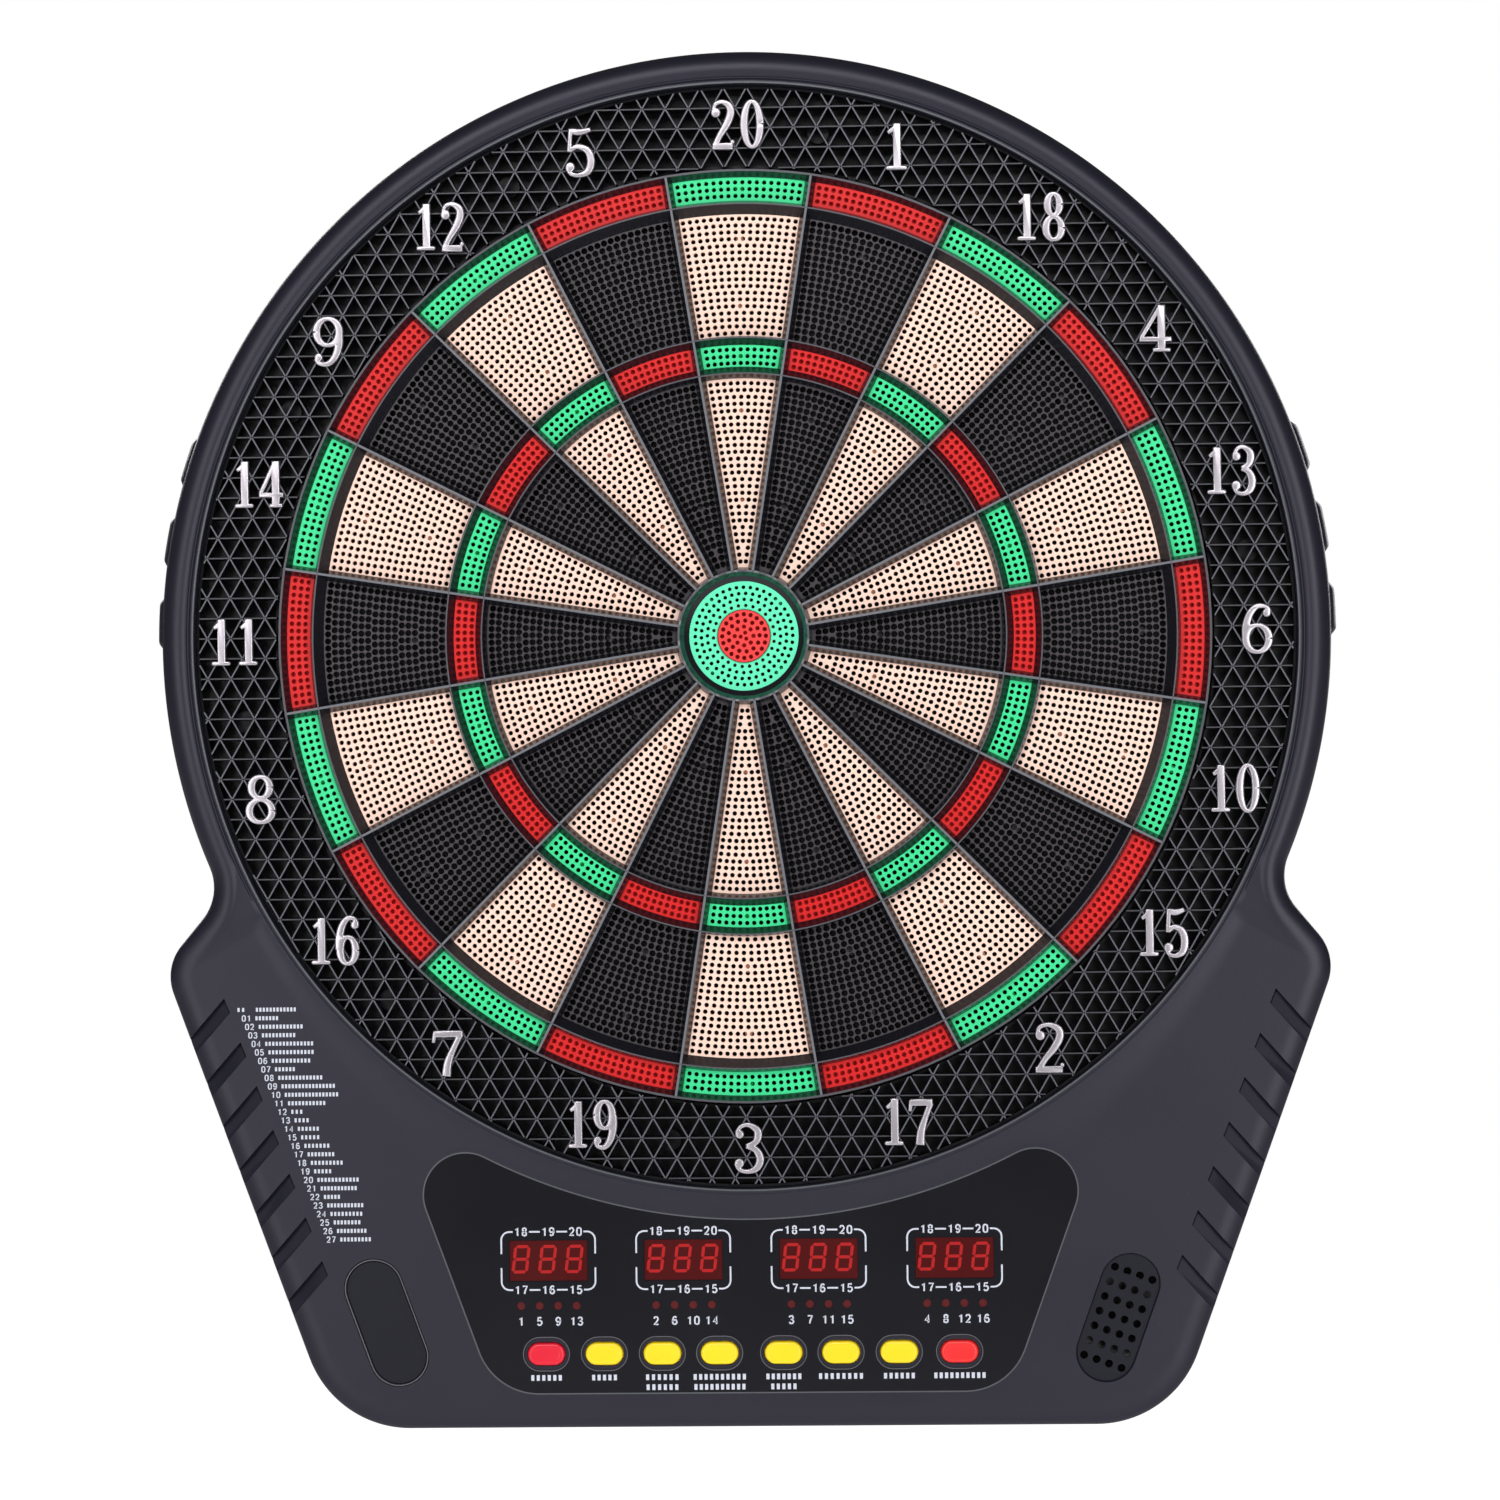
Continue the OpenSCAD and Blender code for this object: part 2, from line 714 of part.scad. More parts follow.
// round wire along a list of points
module wire(path) {
    for (i = [0 : len(path) - 2]) {
        run = path[i + 1] - path[i];
        translate(path[i])
            rotate([0, acos(run[2] / norm(run)), atan2(run[1], run[0])])
                cylinder(r = wire_r, h = norm(run), $fn = 24);
        if (i > 0) translate(path[i]) sphere(r = wire_r * 1.12, $fn = 24);
    }
}

module wires() color([0.7, 0.1, 0.1]) upright() {
    rear = pcb_h[0];
    for (y = [-246, -250.5])
        wire([[recess_x - magnet_r - 1.5, y, 9], [96, y, 9], [96, y, rear]]);
    for (y = [-226, -233])
        wire([[bay_x + bay_w / 2 + bay_wall, y, 9], [-94, y, 9], [-94, y, rear]]);
}

front_housing();
rear_cover();
badge_plate();
catch_ring();
spider();
numerals();
membrane_switch();
foam_sheet();
backing_plate();
membrane_tail();
control_panel();
main_pcb();
for (i = [0 : 3])
    display(i);
player_leds();
for (i = [0 : 7])
    push_button(i);
button_switches();
speaker_frame();
speaker_cone();
speaker_magnet();
battery_door();
battery_contacts();
dc_jack();
housing_screws();
backing_screws();
pcb_screws();
wires();
bull_outer();
bull_inner();
for (i = [0 : 19])
    bed(i);
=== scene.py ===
from math import acos, asin, atan2, cos, degrees, hypot, pi, radians, sin, sqrt

import bmesh
import bpy
from mathutils import Matrix, Vector
from mathutils.geometry import delaunay_2d_cdt, tessellate_polygon


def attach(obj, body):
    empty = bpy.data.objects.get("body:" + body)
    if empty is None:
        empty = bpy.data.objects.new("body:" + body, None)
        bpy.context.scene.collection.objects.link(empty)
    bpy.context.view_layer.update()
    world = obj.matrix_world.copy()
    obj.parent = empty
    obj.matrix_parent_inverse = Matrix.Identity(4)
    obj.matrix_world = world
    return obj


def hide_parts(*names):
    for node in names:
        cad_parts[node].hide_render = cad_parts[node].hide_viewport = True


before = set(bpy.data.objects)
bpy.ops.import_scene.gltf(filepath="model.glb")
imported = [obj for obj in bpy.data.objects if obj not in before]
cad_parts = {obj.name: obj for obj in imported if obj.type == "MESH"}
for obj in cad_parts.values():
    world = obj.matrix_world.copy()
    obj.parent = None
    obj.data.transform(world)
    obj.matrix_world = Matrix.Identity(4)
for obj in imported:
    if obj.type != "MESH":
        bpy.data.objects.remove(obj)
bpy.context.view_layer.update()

# Lengths below are in millimetres: x across the board, y up it, h out from the wall.
MM = 0.001
ORDER = [20, 1, 18, 4, 13, 6, 10, 15, 2, 17, 3, 19, 7, 16, 8, 11, 14, 9, 12, 5]
BUTTONS = ["power", "game", "option", "player", "double", "handicap", "sound", "start"]

HEAD_R = 218.0
WINDOW_R = 205.4
BOTTOM_Y = -294.0
LEAN = 20.0
WAIST_R, WAIST_Y = 18.5, -91.5
SHOULDER, SHOULDER_R = (197.8, -124.9), 18.4
CORNER_R = 40.0
SPLIT_H, SKIN_H, FACE_H, RIM_H = 11.0, 23.9, 26.6, 28.0
PANEL_FLOOR_H, PANEL_H = 25.4, 26.5

SIDE_N = (cos(radians(LEAN)), -sin(radians(LEAN)))
SIDE_OFF = SIDE_N[0] * SHOULDER[0] + SIDE_N[1] * SHOULDER[1] + SHOULDER_R
CORNER = ((SIDE_OFF - CORNER_R - SIDE_N[1] * (BOTTOM_Y + CORNER_R)) / SIDE_N[0], BOTTOM_Y + CORNER_R)
WAIST = (sqrt((HEAD_R + WAIST_R) ** 2 - WAIST_Y ** 2), WAIST_Y)

RINGS = [24.3, 97.8, 111.1, 161.0, 173.3]
SEGMENT_H, SEGMENT_T, RIDGE_H = 22.0, 3.0, 27.0
NUMERAL_R = 190.5
DISPLAY_XS, DISPLAY_Y = [-75.3, -25.0, 25.3, 75.7], -231.7
DISPLAY_W, DISPLAY_T = 29.0, 15.0
LED_Y, LED_PITCH, LED_R = -248.5, 6.9, 1.5
BUTTON_XS, BUTTON_Y = [-76.4, -54.8, -33.2, -11.9, 11.9, 33.2, 54.8, 77.2], -266.4
RECESS, RECESS_R, RECESS_HALF = (136.0, -254.3), 10.65, 13.5
POCKET_H = FACE_H - 1.3
GROOVES, GROOVE_PITCH = 7, 17.4
PEG_H = 15.66
PLAY = 0.1
# where cutters start below the skin and end above the face
BELOW_H, ABOVE_H = 20, 30


# ---------- finishes ----------

def plastic(name, rgb, rough, grain=0.0, grain_size=0.0006, vary=0.05, metal=0.0, ior=1.5,
            glint=(1, 1, 1)):
    """A finish with slight drifts of colour and gloss, and a fine grain in the surface."""
    m = bpy.data.materials.new(name)
    m.use_nodes = True
    nodes, links = m.node_tree.nodes, m.node_tree.links
    shader = nodes["Principled BSDF"]
    place = nodes.new("ShaderNodeTexCoord")
    # wide soft patches that drift the colour and the gloss
    drift = nodes.new("ShaderNodeTexNoise")
    drift.inputs["Scale"].default_value = 28.0
    drift.inputs["Detail"].default_value = 4.0
    links.new(place.outputs["Object"], drift.inputs["Vector"])
    tint = nodes.new("ShaderNodeMix")
    tint.data_type = "RGBA"
    tint.inputs[6].default_value = (*[c * (1 - vary) for c in rgb], 1)
    tint.inputs[7].default_value = (*[min(1.0, c * (1 + vary)) for c in rgb], 1)
    links.new(drift.outputs["Fac"], tint.inputs["Factor"])
    links.new(tint.outputs[2], shader.inputs["Base Color"])
    gloss = nodes.new("ShaderNodeMapRange")
    gloss.inputs["To Min"].default_value = max(0.02, rough - 0.05)
    gloss.inputs["To Max"].default_value = min(1.0, rough + 0.05)
    links.new(drift.outputs["Fac"], gloss.inputs["Value"])
    links.new(gloss.outputs["Result"], shader.inputs["Roughness"])
    # fine grain for the bump
    pits = nodes.new("ShaderNodeTexNoise")
    pits.inputs["Scale"].default_value = 1.0 / grain_size
    pits.inputs["Detail"].default_value = 2.0
    links.new(place.outputs["Object"], pits.inputs["Vector"])
    bump = nodes.new("ShaderNodeBump")
    bump.inputs["Strength"].default_value = max(grain, 0.02)
    bump.inputs["Distance"].default_value = grain_size * 0.25
    links.new(pits.outputs["Fac"], bump.inputs["Height"])
    links.new(bump.outputs["Normal"], shader.inputs["Normal"])
    shader.inputs["Metallic"].default_value = metal
    shader.inputs["IOR"].default_value = ior
    shader.inputs["Specular Tint"].default_value = (*glint, 1)
    return m


LOOKS = {
    "housing_plastic": dict(rgb=(0.0105, 0.0102, 0.0175), rough=0.4, grain=0.18, ior=1.385,
                            glint=(0.91, 0.88, 1.0)),
    "cover_plastic": dict(rgb=(0.009, 0.009, 0.012), rough=0.28, grain=0.2, ior=1.35),
    "black_plastic": dict(rgb=(0.004, 0.004, 0.006), rough=0.32, grain=0.15, ior=1.3),
    "spider_plastic": dict(rgb=(0.008, 0.008, 0.011), rough=0.24, ior=1.42),
    "silver_paint": dict(rgb=(0.42, 0.39, 0.425), rough=0.3, metal=0.75, vary=0.04),
    "cream_plastic": dict(rgb=(0.83, 0.59, 0.49), rough=0.42, vary=0.03, ior=1.38),
    "black_segment": dict(rgb=(0.04, 0.034, 0.04), rough=0.32, ior=1.42),
    "green_plastic": dict(rgb=(0.034, 0.66, 0.26), rough=0.36, vary=0.04, ior=1.38),
    "red_plastic": dict(rgb=(0.6, 0.008, 0.009), rough=0.36, vary=0.04, ior=1.34),
    # near black film behind the segments: painted shade seen through their holes
    "clear_film": dict(rgb=(0.005, 0.005, 0.006), rough=0.6, ior=1.3),
    "foam": dict(rgb=(0.02, 0.02, 0.022), rough=0.9, grain=0.5, grain_size=0.0015),
    "grey_board": dict(rgb=(0.2, 0.2, 0.21), rough=0.7, grain=0.2),
    "panel_gloss": dict(rgb=(0.008, 0.008, 0.011), rough=0.14, ior=1.4),
    "circuit_board": dict(rgb=(0.02, 0.13, 0.06), rough=0.4),
    "display_red": dict(rgb=(0.06, 0.0015, 0.002), rough=0.3, ior=1.25),
    "lamp_red": dict(rgb=(0.075, 0.002, 0.003), rough=0.4, ior=1.3),
    "print_white": dict(rgb=(0.52, 0.54, 0.62), rough=0.5),
    "button_pink": dict(rgb=(0.66, 0.008, 0.028), rough=0.3, ior=1.42),
    "button_red": dict(rgb=(0.74, 0.02, 0.02), rough=0.3, ior=1.42),
    "button_yellow": dict(rgb=(0.86, 0.62, 0.01), rough=0.3, ior=1.42),
    "switch_black": dict(rgb=(0.02, 0.02, 0.02), rough=0.4),
    "steel": dict(rgb=(0.55, 0.56, 0.58), rough=0.3, metal=1.0),
    "magnet": dict(rgb=(0.12, 0.12, 0.13), rough=0.35, metal=0.8),
    "paper_cone": dict(rgb=(0.03, 0.03, 0.03), rough=0.8, grain=0.4),
    "wire_red": dict(rgb=(0.5, 0.02, 0.02), rough=0.4),
    # parts of a piece that look different from the rest of it: painted highlights, painted shade, and the
    # bull's and the lit digits' own colours
    "painted_ridge_highlight": dict(rgb=(0.125, 0.13, 0.148), rough=0.3),
    "faint_painted_ridge_highlight": dict(rgb=(0.065, 0.065, 0.078), rough=0.3),
    "rib_edge": dict(rgb=(0.082, 0.082, 0.1), rough=0.35),
    "faint_rib_edge": dict(rgb=(0.034, 0.034, 0.043), rough=0.35),
    "groove_shade": dict(rgb=(0.005, 0.005, 0.007), rough=0.5, ior=1.25),
    # near black and barely glossy: painted shade behind the grille
    "painted_shade_steel": dict(rgb=(0.0014, 0.0014, 0.0016), rough=0.9, ior=1.06),
    "bull_green": dict(rgb=(0.1, 0.74, 0.42), rough=0.36, vary=0.04, ior=1.42),
    "bull_red": dict(rgb=(0.74, 0.035, 0.035), rough=0.36, vary=0.04, ior=1.4),
    # darker than the housing: painted shade for the floor of the foot's recess
    "pocket_painted_shade": dict(rgb=(0.0075, 0.0075, 0.011), rough=0.4, grain=0.18, ior=1.29,
                        glint=(0.85, 0.84, 1.0)),
    "lit_digit": dict(rgb=(0.36, 0.004, 0.005), rough=0.4, ior=1.3),
    "painted_rim_highlight": dict(rgb=(0.1, 0.1, 0.11), rough=0.3),
    "painted_lip_highlight": dict(rgb=(0.075, 0.08, 0.09), rough=0.3),
}
FINISH = {name: plastic(name, **look) for name, look in LOOKS.items()}

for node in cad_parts.values():
    for place in node.material_slots:
        finish = FINISH.get(place.material.name.split(".")[0]) if place.material else None
        if finish:
            place.material = finish
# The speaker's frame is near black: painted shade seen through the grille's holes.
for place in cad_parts["speaker_frame"].material_slots:
    place.material = FINISH["painted_shade_steel"]


# ---------- mesh tools ----------

def out(p):
    """A point (x, y, h) in millimetres, in the frame's metres."""
    return (p[0] * MM, -p[2] * MM, p[1] * MM)


def arc(c, r, a0, a1, n):
    """Points of an arc about c from a0 to a1 degrees, in n steps."""
    return [(c[0] + r * cos(radians(a0 + (a1 - a0) * i / n)),
             c[1] + r * sin(radians(a0 + (a1 - a0) * i / n))) for i in range(n + 1)]


def circle(c, r, n=32, turn=0.0):
    return [(c[0] + r * cos(turn + 2 * pi * i / n), c[1] + r * sin(turn + 2 * pi * i / n)) for i in range(n)]


def turned(pts, turn):
    """The points turned anticlockwise about the origin, by that many degrees."""
    a = radians(turn)
    return [(x * cos(a) - y * sin(a), x * sin(a) + y * cos(a)) for x, y in pts]


def between(a, b, n):
    """The n - 1 points that part the line from a to b into n steps."""
    return [(a[0] + (b[0] - a[0]) * i / n, a[1] + (b[1] - a[1]) * i / n) for i in range(1, n)]


def obround(c, w, t, n=12):
    """A level slot shape w wide and t high."""
    half = (w - t) / 2
    return (arc((c[0] + half, c[1]), t / 2, -90, 90, n) + arc((c[0] - half, c[1]), t / 2, 90, 270, n))


def box(c, half_w, half_t):
    """A rectangle about c."""
    return [(c[0] - half_w, c[1] - half_t), (c[0] + half_w, c[1] - half_t),
            (c[0] + half_w, c[1] + half_t), (c[0] - half_w, c[1] + half_t)]


def heading(a, b):
    """The unit vector from a to b."""
    length = hypot(b[0] - a[0], b[1] - a[1]) or 1.0
    return ((b[0] - a[0]) / length, (b[1] - a[1]) / length)


def area(pts):
    """Area within the loop, less than 0 where it runs clockwise."""
    return sum(a[0] * b[1] - b[0] * a[1] for a, b in zip(pts, pts[1:] + pts[:1])) / 2


class Solid:
    """The points and faces of one piece as it is put together."""

    def __init__(self):
        self.points, self.faces, self.marks = [], [], []

    def mark(self, first, finish):
        """Gives the faces from number first to the last one so far another of the piece's finishes."""
        self.marks.append((first, len(self.faces), finish))

    def row(self, points):
        """Adds points (x, y, h) and returns their numbers."""
        first = len(self.points)
        self.points += points
        return list(range(first, len(self.points)))

    def loop(self, pts, h):
        """Adds a loop of points at height h, or at a height for each, and returns their numbers."""
        heights = h if isinstance(h, list) else [h] * len(pts)
        return self.row([(x, y, z) for (x, y), z in zip(pts, heights)])

    def band(self, a, b):
        """Quads between two loops of as many points."""
        for i in range(len(a)):
            j = (i + 1) % len(a)
            self.faces.append((a[i], a[j], b[j], b[i]))

    def bands(self, rows, around=False):
        """Quads from each loop to the next, and from the last to the first if they go around."""
        for a, b in zip(rows, rows[1:] + (rows[:1] if around else [])):
            self.band(a, b)

    def ends(self, rows):
        """Closes the first and the last loop with one face each."""
        self.faces += [tuple(rows[0][::-1]), tuple(rows[-1])]

    def cap(self, loops, up=True):
        """Fills the area between an outer loop and its holes with triangles."""
        flat = [[Vector((self.points[i][0], self.points[i][1], 0)) for i in loop] for loop in loops]
        numbers = [i for loop in loops for i in loop]
        for tri in tessellate_polygon(flat):
            a, b, c = (numbers[i] for i in tri)
            pa, pb, pc = self.points[a], self.points[b], self.points[c]
            turn = (pb[0] - pa[0]) * (pc[1] - pa[1]) - (pb[1] - pa[1]) * (pc[0] - pa[0])
            if abs(turn) < 1e-9:
                continue
            self.faces.append((a, b, c) if (turn > 0) == up else (a, c, b))

    def plate(self, outer, holes, lo, hi, edge=0.0, outer_top=None):
        """A flat plate with holes. outer_top is its outline at the very top, where edge breaks its edge."""
        rims = [outer] + list(holes)
        low = [self.loop(p, lo) for p in rims]
        high = [self.loop(p, hi - (edge if k == 0 else 0.0)) for k, p in enumerate(rims)]
        for a, b in zip(low, high):
            self.band(a, b)
        top = list(high)
        if outer_top:
            top[0] = self.loop(outer_top, hi)
            self.band(high[0], top[0])
        self.cap(top, True)
        self.cap(low, False)


def mesh_of(name, solid, smooth=None):
    mesh = bpy.data.meshes.new(name)
    mesh.from_pydata([out(p) for p in solid.points], [], solid.faces)
    bm = bmesh.new()
    bm.from_mesh(mesh)
    bmesh.ops.recalc_face_normals(bm, faces=bm.faces)
    bm.to_mesh(mesh)
    bm.free()
    for first, last, finish in solid.marks:
        for k in range(first, last):
            mesh.polygons[k].material_index = finish
    shade(mesh, smooth)
    return mesh


def shade(mesh, smooth):
    """Smooth shading, sharp where faces meet at more than the given angle."""
    if smooth is None:
        return
    mesh.polygons.foreach_set("use_smooth", [True] * len(mesh.polygons))
    mesh.set_sharp_from_angle(angle=radians(smooth))


def piece(name, mesh, finish, body="housing", nodes=(), spin=0.0, looks=None):
    """A piece with its slot, the body it rides and the CAD nodes it stands for.

    looks names its finishes where they aren't just that of the slot.
    """
    obj = bpy.data.objects.new(name, mesh)
    bpy.context.scene.collection.objects.link(obj)
    if not mesh.materials:
        for look in looks or (finish,):
            mesh.materials.append(FINISH[look])
    obj.rotation_euler = (0, spin, 0)
    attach(obj, body)
    if nodes:
        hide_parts(*nodes)
    return obj


def cut(mesh, cutter, name):
    """The mesh with the cutter's solid taken away."""
    target = bpy.data.objects.new(name, mesh)
    tool = bpy.data.objects.new(name + "_tool", cutter)
    for o in (target, tool):
        bpy.context.scene.collection.objects.link(o)
    change = target.modifiers.new("cut", "BOOLEAN")
    change.operation, change.solver, change.object = "DIFFERENCE", "EXACT", tool
    bpy.context.view_layer.update()
    done = bpy.data.meshes.new_from_object(target.evaluated_get(bpy.context.evaluated_depsgraph_get()))
    for o in (target, tool):
        bpy.data.objects.remove(o)
    return done


# ---------- housing ----------

def outline(inset):
    """The board's outline moved inwards, anticlockwise, with the same points in order for any inset."""
    span = (WAIST[0] - SHOULDER[0], WAIST[1] - SHOULDER[1])
    neck = degrees(atan2(span[1], span[0]) - acos((WAIST_R + SHOULDER_R) / hypot(*span)))
    waist = degrees(atan2(WAIST[1], WAIST[0]))
    parts = [
        [(0.0, BOTTOM_Y + inset)],
        arc(CORNER, CORNER_R - inset, -90, -LEAN, 24),
        arc(SHOULDER, SHOULDER_R - inset, -LEAN, neck, 14),
        arc(WAIST, WAIST_R + inset, 180 + neck, 180 + waist, 10),
        arc((0, 0), HEAD_R - inset, waist, 90, 132),
    ]
    half = list(parts[0])
    for part, steps in zip(parts[1:], (16, 20, 6, 1)):
        half += between(half[-1], part[0], steps)
        half += part if hypot(half[-1][0] - part[0][0], half[-1][1] - part[0][1]) > 1e-6 else part[1:]
    return half + [(-x, y) for x, y in half[-2:0:-1]]


def smoothstep(t):
    t = min(max(t, 0.0), 1.0)
    return t * t * (3 - 2 * t)


def bead_height(d):
    """Height of the rim round the head, d in from the edge."""
    crest = 7.0
    if d < crest:
        return 22.0 + (RIM_H - 22.0) * sqrt(max(0.0, 1 - ((crest - d) / crest) ** 2.1))
    return RIM_H - 0.58 * ((d - crest) / 2.2) ** 2


def base_height(d):
    """Height of the base's face, d in from the edge."""
    flat = 9.0
    return 23.0 + 3.6 * sqrt(max(0.0, 1 - ((flat - d) / flat) ** 2)) if d < flat else FACE_H


def housing_shell():
    s = Solid()
    edge = outline(0)
    base = [smoothstep((-84 - y) / 36) for _, y in edge]
    rows = []
    steps = [0, 0.08, 0.3, 0.7, 1.2, 1.8, 2.5, 3.3, 4.2, 5.1, 6.0, 7.0, 7.6, 8.4, 9.2]
    for d in steps:
        heights = [bead_height(d) * (1 - b) + base_height(d) * b for b in base]
        rows.append(s.loop(outline(d), heights))
    inner = outline(steps[-1])
    start = [bead_height(steps[-1]) * (1 - b) + FACE_H * b for b in base]
    for k in range(1, 6):
        t = k / 5
        pts, heights = [], []
        for (x, y), b, z in zip(inner, base, start):
            r = hypot(x, y)
            to = r + (208.4 - r) * t
            pts.append((x * to / r, y * to / r))
            heights.append(z + ((27.2 * (1 - b) + FACE_H * b) - z) * t)
        rows.append(s.loop(pts, heights))
    way = [atan2(y, x) for x, y in inner]

    def round_row(r, h):
        rows.append(s.loop([(r * cos(a), r * sin(a)) for a in way], h))

    for r, h in ((208.1, 26.75), (207.7, 26.7), (207.35, 27.0), (206.9, 27.3), (206.2, 27.35),
                 (205.7, 27.2), (WINDOW_R, 26.7), (WINDOW_R, 14.2), (207.4, 14.2), (207.4, SKIN_H)):
        round_row(r, h)
    rows.append(s.loop(outline(2.5), SKIN_H - 1.2))
    rows.append(s.loop(outline(2.5), SPLIT_H))
    rows.append(s.loop(outline(0.35), SPLIT_H))
    rows.append(s.loop(outline(0.0), SPLIT_H + 0.35))
    s.bands(rows, around=True)
    return mesh_of("housing", s)


def panel_loop(inset):
    """The control panel's outline moved inwards."""
    top_r, low_r, arc_r = 16.0, 24.0, 216.6
    top = (106.0, -sqrt((arc_r + top_r) ** 2 - 106.0 ** 2))
    line = SIDE_N[0] * top[0] + SIDE_N[1] * top[1] + top_r
    low_y = -281.4 + low_r
    low = ((line - low_r - SIDE_N[1] * low_y) / SIDE_N[0], low_y)
    a = degrees(atan2(top[1], top[0]))
    half = (arc(low, low_r - inset, -90, -LEAN, 20) + arc(top, top_r - inset, -LEAN, 180 + a, 24)
            + arc((0, 0), arc_r + inset, a, -90, 48))
    return half + [(-x, y) for x, y in half[-2::-1]]


def tilted_slot(side, r):
    """A slot at the foot that leans with the side it is near."""
    ends = arc((0, RECESS_HALF), r, 0, 180, 20) + arc((0, -RECESS_HALF), r, 180, 360, 20)
    pts = [(RECESS[0] + x, RECESS[1] + y) for x, y in turned(ends, -LEAN)]
    return pts if side > 0 else [(-x, y) for x, y in reversed(pts)]


def grille_points():
    """Centres of the speaker's holes, about the middle of its recess."""
    for i in range(4):
        for j in range(7):
            yield turned([((i - 1.5) * 4.88, (j - 3) * 5.76)], -LEAN)[0]


def display_hole(x):
    return box((x, DISPLAY_Y), DISPLAY_W / 2 + PLAY, DISPLAY_T / 2 + PLAY)


def lamp_holes(x):
    """The four lamp holes below the display at x."""
    return [circle((x + (i - 1.5) * LED_PITCH, LED_Y), LED_R + PLAY, 20) for i in range(4)]


def through_cutters():
    """Openings right through the skin."""
    s = Solid()
    for x in DISPLAY_XS:
        s.plate(display_hole(x), [], BELOW_H, 29)
        for hole in lamp_holes(x):
            s.plate(hole, [], BELOW_H, 28.5)
    for x in BUTTON_XS:
        s.plate(obround((x, BUTTON_Y), 14.6, 8.9), [], BELOW_H, 29)
    for x, y in grille_points():
        s.plate(circle((RECESS[0] + x, RECESS[1] + y), 1.5, 16), [], BELOW_H, 26)
    return mesh_of("through_cutters", s)


# heights of a groove's floor: inner upper, outer upper, outer lower and inner lower corner
GROOVE_H = [24.2, 22.0, 23.6, 26.0]


def groove(side, i, reach=24.0):
    """Corners of a groove in the side of the base, open at the edge."""
    down = i * GROOVE_PITCH
    x, y = side * (195.6 - down * sin(radians(LEAN))), -133.0 - down * cos(radians(LEAN))
    out_x, out_y, wide_x, wide_y = side * 0.66 * reach, -0.75 * reach, side * -2.2, -5.4
    upper = [(x, y), (x + out_x, y + out_y)]
    return upper + [(u + wide_x, v + wide_y) for u, v in reversed(upper)]


def pocket_cutters():
    """The panel's seat, the two slots at the foot and the grooves in the sides."""
    s = Solid()
    s.plate(panel_loop(0.0), [], PANEL_FLOOR_H, ABOVE_H)
    for side in (1, -1):
        wide, low = tilted_slot(side, RECESS_R + 0.6), tilted_slot(side, RECESS_R)
        a, b, c = s.loop(wide, FACE_H + 0.05), s.loop(wide, ABOVE_H), s.loop(low, POCKET_H)
        s.band(a, b)
        s.band(a, c)
        s.cap([b])
        s.cap([c], False)
        for i in range(GROOVES):
            corners = groove(side, i)
            sides = [s.loop(corners, GROOVE_H), s.loop(corners, ABOVE_H)]
            s.bands(sides)
            s.ends(sides)
    return mesh_of("pocket_cutters", s)


shell = cut(cut(housing_shell(), pocket_cutters(), "pockets"), through_cutters(), "housing_shell")
shade(shell, 38)
shell.materials.clear()
piece("front_housing_shell", shell, "housing_plastic", nodes=["front_housing"],
      looks=("housing_plastic", "pocket_painted_shade"))
# The grille pocket's floor takes the second finish, darker than the face: painted shade in the recess.
for facet in shell.polygons:
    if facet.normal.y < -0.9 and abs(facet.center.y / MM + POCKET_H) < 0.01:
        facet.material_index = 1

# ---------- rear cover, its door and screws ----------

BAY, BAY_W, BAY_T, LEDGE, DOOR_H = (-136.0, -225.0), 54.0, 46.0, 3.0, 2.0
SCREWS = [(211.5 * cos(radians(a)), 211.5 * sin(radians(a))) for a in range(0, 181, 36)] \
    + [(side * x, y) for side in (1, -1) for x, y in ((195, -140), (172, -205), (60, -286))]


def rounded(c, w, t, r, n=6):
    """A rectangle w wide and t high with rounded corners."""
    x, y = w / 2 - r, t / 2 - r
    return (arc((c[0] + x, c[1] - y), r, -90, 0, n) + arc((c[0] + x, c[1] + y), r, 0, 90, n)
            + arc((c[0] - x, c[1] + y), r, 90, 180, n) + arc((c[0] - x, c[1] - y), r, 180, 270, n))


def cover_shell():
    s = Solid()
    # how far inwards and how high, from the floor's inner face over the wall to the back
    stations = [(3.5, 2.5), (3.5, 10.6), (3.2, 10.95), (1.8, 10.95), (1.5, 10.65), (1.5, 2.6),
                (1.65, 1.6), (2.1, 0.8), (2.9, 0.25), (4.0, 0.0)]
    rows = [s.loop(outline(inset), h) for inset, h in stations]
    s.bands(rows)
    s.cap([rows[0]])
    s.cap([rows[-1]], False)
    return mesh_of("cover", s)


def cover_cutters():
    """Battery opening with its ledge, keyholes, screw sinks and the adaptor hole."""
    s = Solid()
    rows = [s.loop(rounded(BAY, BAY_W + 2 * grow, BAY_T + 2 * grow, 0.6), h)
            for grow, h in ((LEDGE, -1), (LEDGE, DOOR_H), (0, DOOR_H), (0, 4))]
    s.bands(rows)
    s.cap([rows[0]], False)
    s.cap([rows[-1]])
    for x, y in ((100, 100), (-100, 100), (100, -100), (-100, -100)):
        joint = degrees(asin(2.25 / 4.5))
        s.plate(arc((x, y), 4.5, 90 + joint, 450 - joint, 30) + arc((x, y + 9), 2.25, 0, 180, 12), [], -1, 4)
    for c in SCREWS:
        s.plate(circle(c, 3.3, 28), [], -1, 2.2)
    barrel = [s.row([(x, y, h) for x, h in circle((30, 6.75), 3.9)]) for y in (-296, -288)]
    s.bands(barrel)
    s.ends(barrel)
    return mesh_of("cover_cutters", s)


cover = cut(cover_shell(), cover_cutters(), "rear_cover_shell")
shade(cover, 30)
cover.materials.clear()
piece("rear_cover_shell", cover, "cover_plastic", nodes=["rear_cover"])
for facet in cover.polygons:
    facet.use_smooth = facet.normal.y < 0.999

